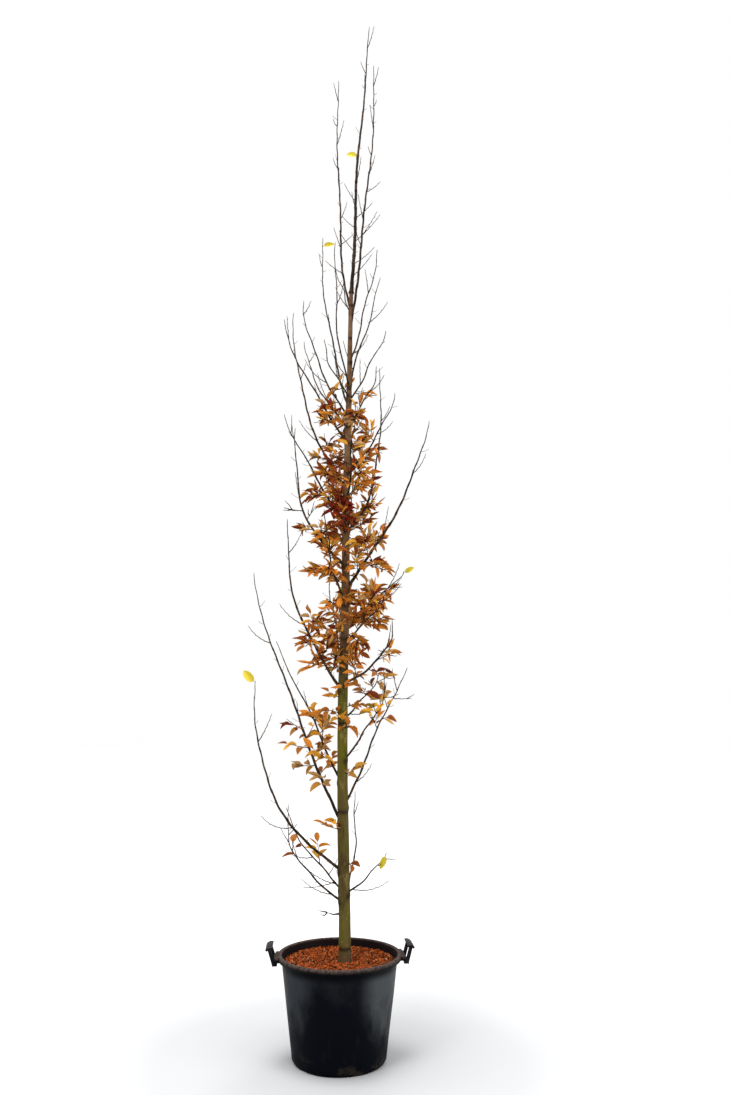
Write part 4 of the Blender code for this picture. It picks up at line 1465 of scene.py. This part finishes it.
def makeSoil():
    look = soilLook
    top = potLook["height"] - potLook["soilBelowLip"]
    edge = wallRadius(top) - potLook["wall"] - 0.0004
    heel = wallRadius(potLook["heelHeight"]) - potLook["wall"] - 0.0004
    rings = [(edge * i / look["rings"], top) for i in range(look["rings"], -1, -1)]
    profile = [(0, potLook["floor"] + 0.0004), (heel - potLook["heelInset"], potLook["floor"] + 0.0004),
               (heel, potLook["heelHeight"])] + rings
    shape = spinProfile(profile, look["steps"])
    for vert in shape.verts:
        if vert.co.z > top - 1e-4:
            vert.co.z = soilTop(vert.co.x, vert.co.y) - 0.002
    paint = Paint("substrate", 0.95, 0.05)
    grain = paint.speckle(160, (1, 1, 1), 5, 0.7)
    paint.set("Base Color", paint.blend(paint.between(grain, 0.35, 0.65), fromScreen(20, 8, 3),
                                        fromScreen(80, 34, 10)))
    paint.emboss(grain, 0.8, 0.003)
    finishPiece("substrate_bed", shape, [paint.material], ["soil"])


def makeChips():
    look = soilLook
    rng = random.Random(5)
    top = potLook["height"] - potLook["soilBelowLip"]
    edge = wallRadius(top) - potLook["wall"] - 0.006
    trunkFoot, trunkRadius = trunkAt(trunkStations[0][0])
    names = list(look["tints"])
    piles = {name: bmesh.new() for name in names}
    for _ in range(look["chips"]):
        radius, turn = edge * math.sqrt(rng.random()), rng.uniform(0, math.tau)
        x, y = radius * math.cos(turn), radius * math.sin(turn)
        if math.hypot(x - trunkFoot.x, y - trunkFoot.y) < trunkRadius:
            continue
        name = rng.choices(names, [share for _, share in look["tints"].values()])[0]
        length = rng.uniform(*look["chipLength"]) * (0.75 if name == "pale" else 1)
        size = (length, length * rng.uniform(*look["chipWidth"]), length * rng.uniform(*look["chipThickness"]))
        lift = soilTop(x, y) + rng.uniform(-0.002, 0.002)
        place = Matrix.Translation((x, y, lift)) @ Matrix.Rotation(rng.uniform(0, math.tau), 4, "Z") \
            @ Matrix.Rotation(rng.gauss(0, look["tilt"]), 4, "X") \
            @ Matrix.Rotation(rng.gauss(0, look["tilt"]), 4, "Y") @ Matrix.Diagonal((*size, 1))
        pile = piles[name]
        made = bmesh.ops.create_cube(pile, size=1)["verts"]
        for vert in made:
            vert.co += Vector([rng.uniform(-0.22, 0.22) for _ in range(3)])
            vert.co = place @ vert.co
    for name, pile in piles.items():
        paint = plainPaint("chips " + name, look["tints"][name][0], 0.9, 0.05)
        finishPiece("chips_" + name, pile, [paint], ["soil"], 20)


# ---- building

addCamera()
addLamps()
floorShape = bmesh.new()
bmesh.ops.create_circle(floorShape, cap_ends=True, segments=96, radius=studio["floorRadius"])
floorMesh = bpy.data.meshes.new("floor")
floorShape.to_mesh(floorMesh)
floorShape.free()
floorMesh.materials.append(paintFloor())
floor = bpy.data.objects.new("floor", floorMesh)
bpy.context.scene.collection.objects.link(floor)
print("stage ready")

potPaint = paintPot()
makePot(potPaint)
handlePaints = [paintHandle(), potPaint]
makeHandle("right", handlePaints)
makeHandle("left", handlePaints)
makeSoil()
makeChips()
print("container ready")

makeTrunk()
grownLimbs = planTree()
allTwigs = [twig for _, twigs in grownLimbs for twig in twigs]
for twig in allTwigs:
    settleTwig(twig)
allTwigs += forkTwigs(allTwigs)
allTwigs += trunkTwigs(random.Random(46))
allTwigs += shootTwigs()
thickWood, fineWood = makeLimbs(grownLimbs)
makeTwigs(allTwigs, fineWood)
makeLeaves(allTwigs, fineWood)
boughNodes = [name for name in nodeNames if name.startswith(("bough", "leader"))]
massNodes = [name for name in nodeNames if name.startswith(("foliage", "twigs"))]
limbPaint = paintLimbs("limb bark", (64, 49, 34), (30, 22, 15))
twigPaint = paintLimbs("twig bark", (54, 38, 28), (26, 18, 14))
finishPiece("limbs_bark", thickWood, [limbPaint], boughNodes)
finishPiece("fine_twigs", fineWood, [twigPaint], massNodes)
print("tree ready")
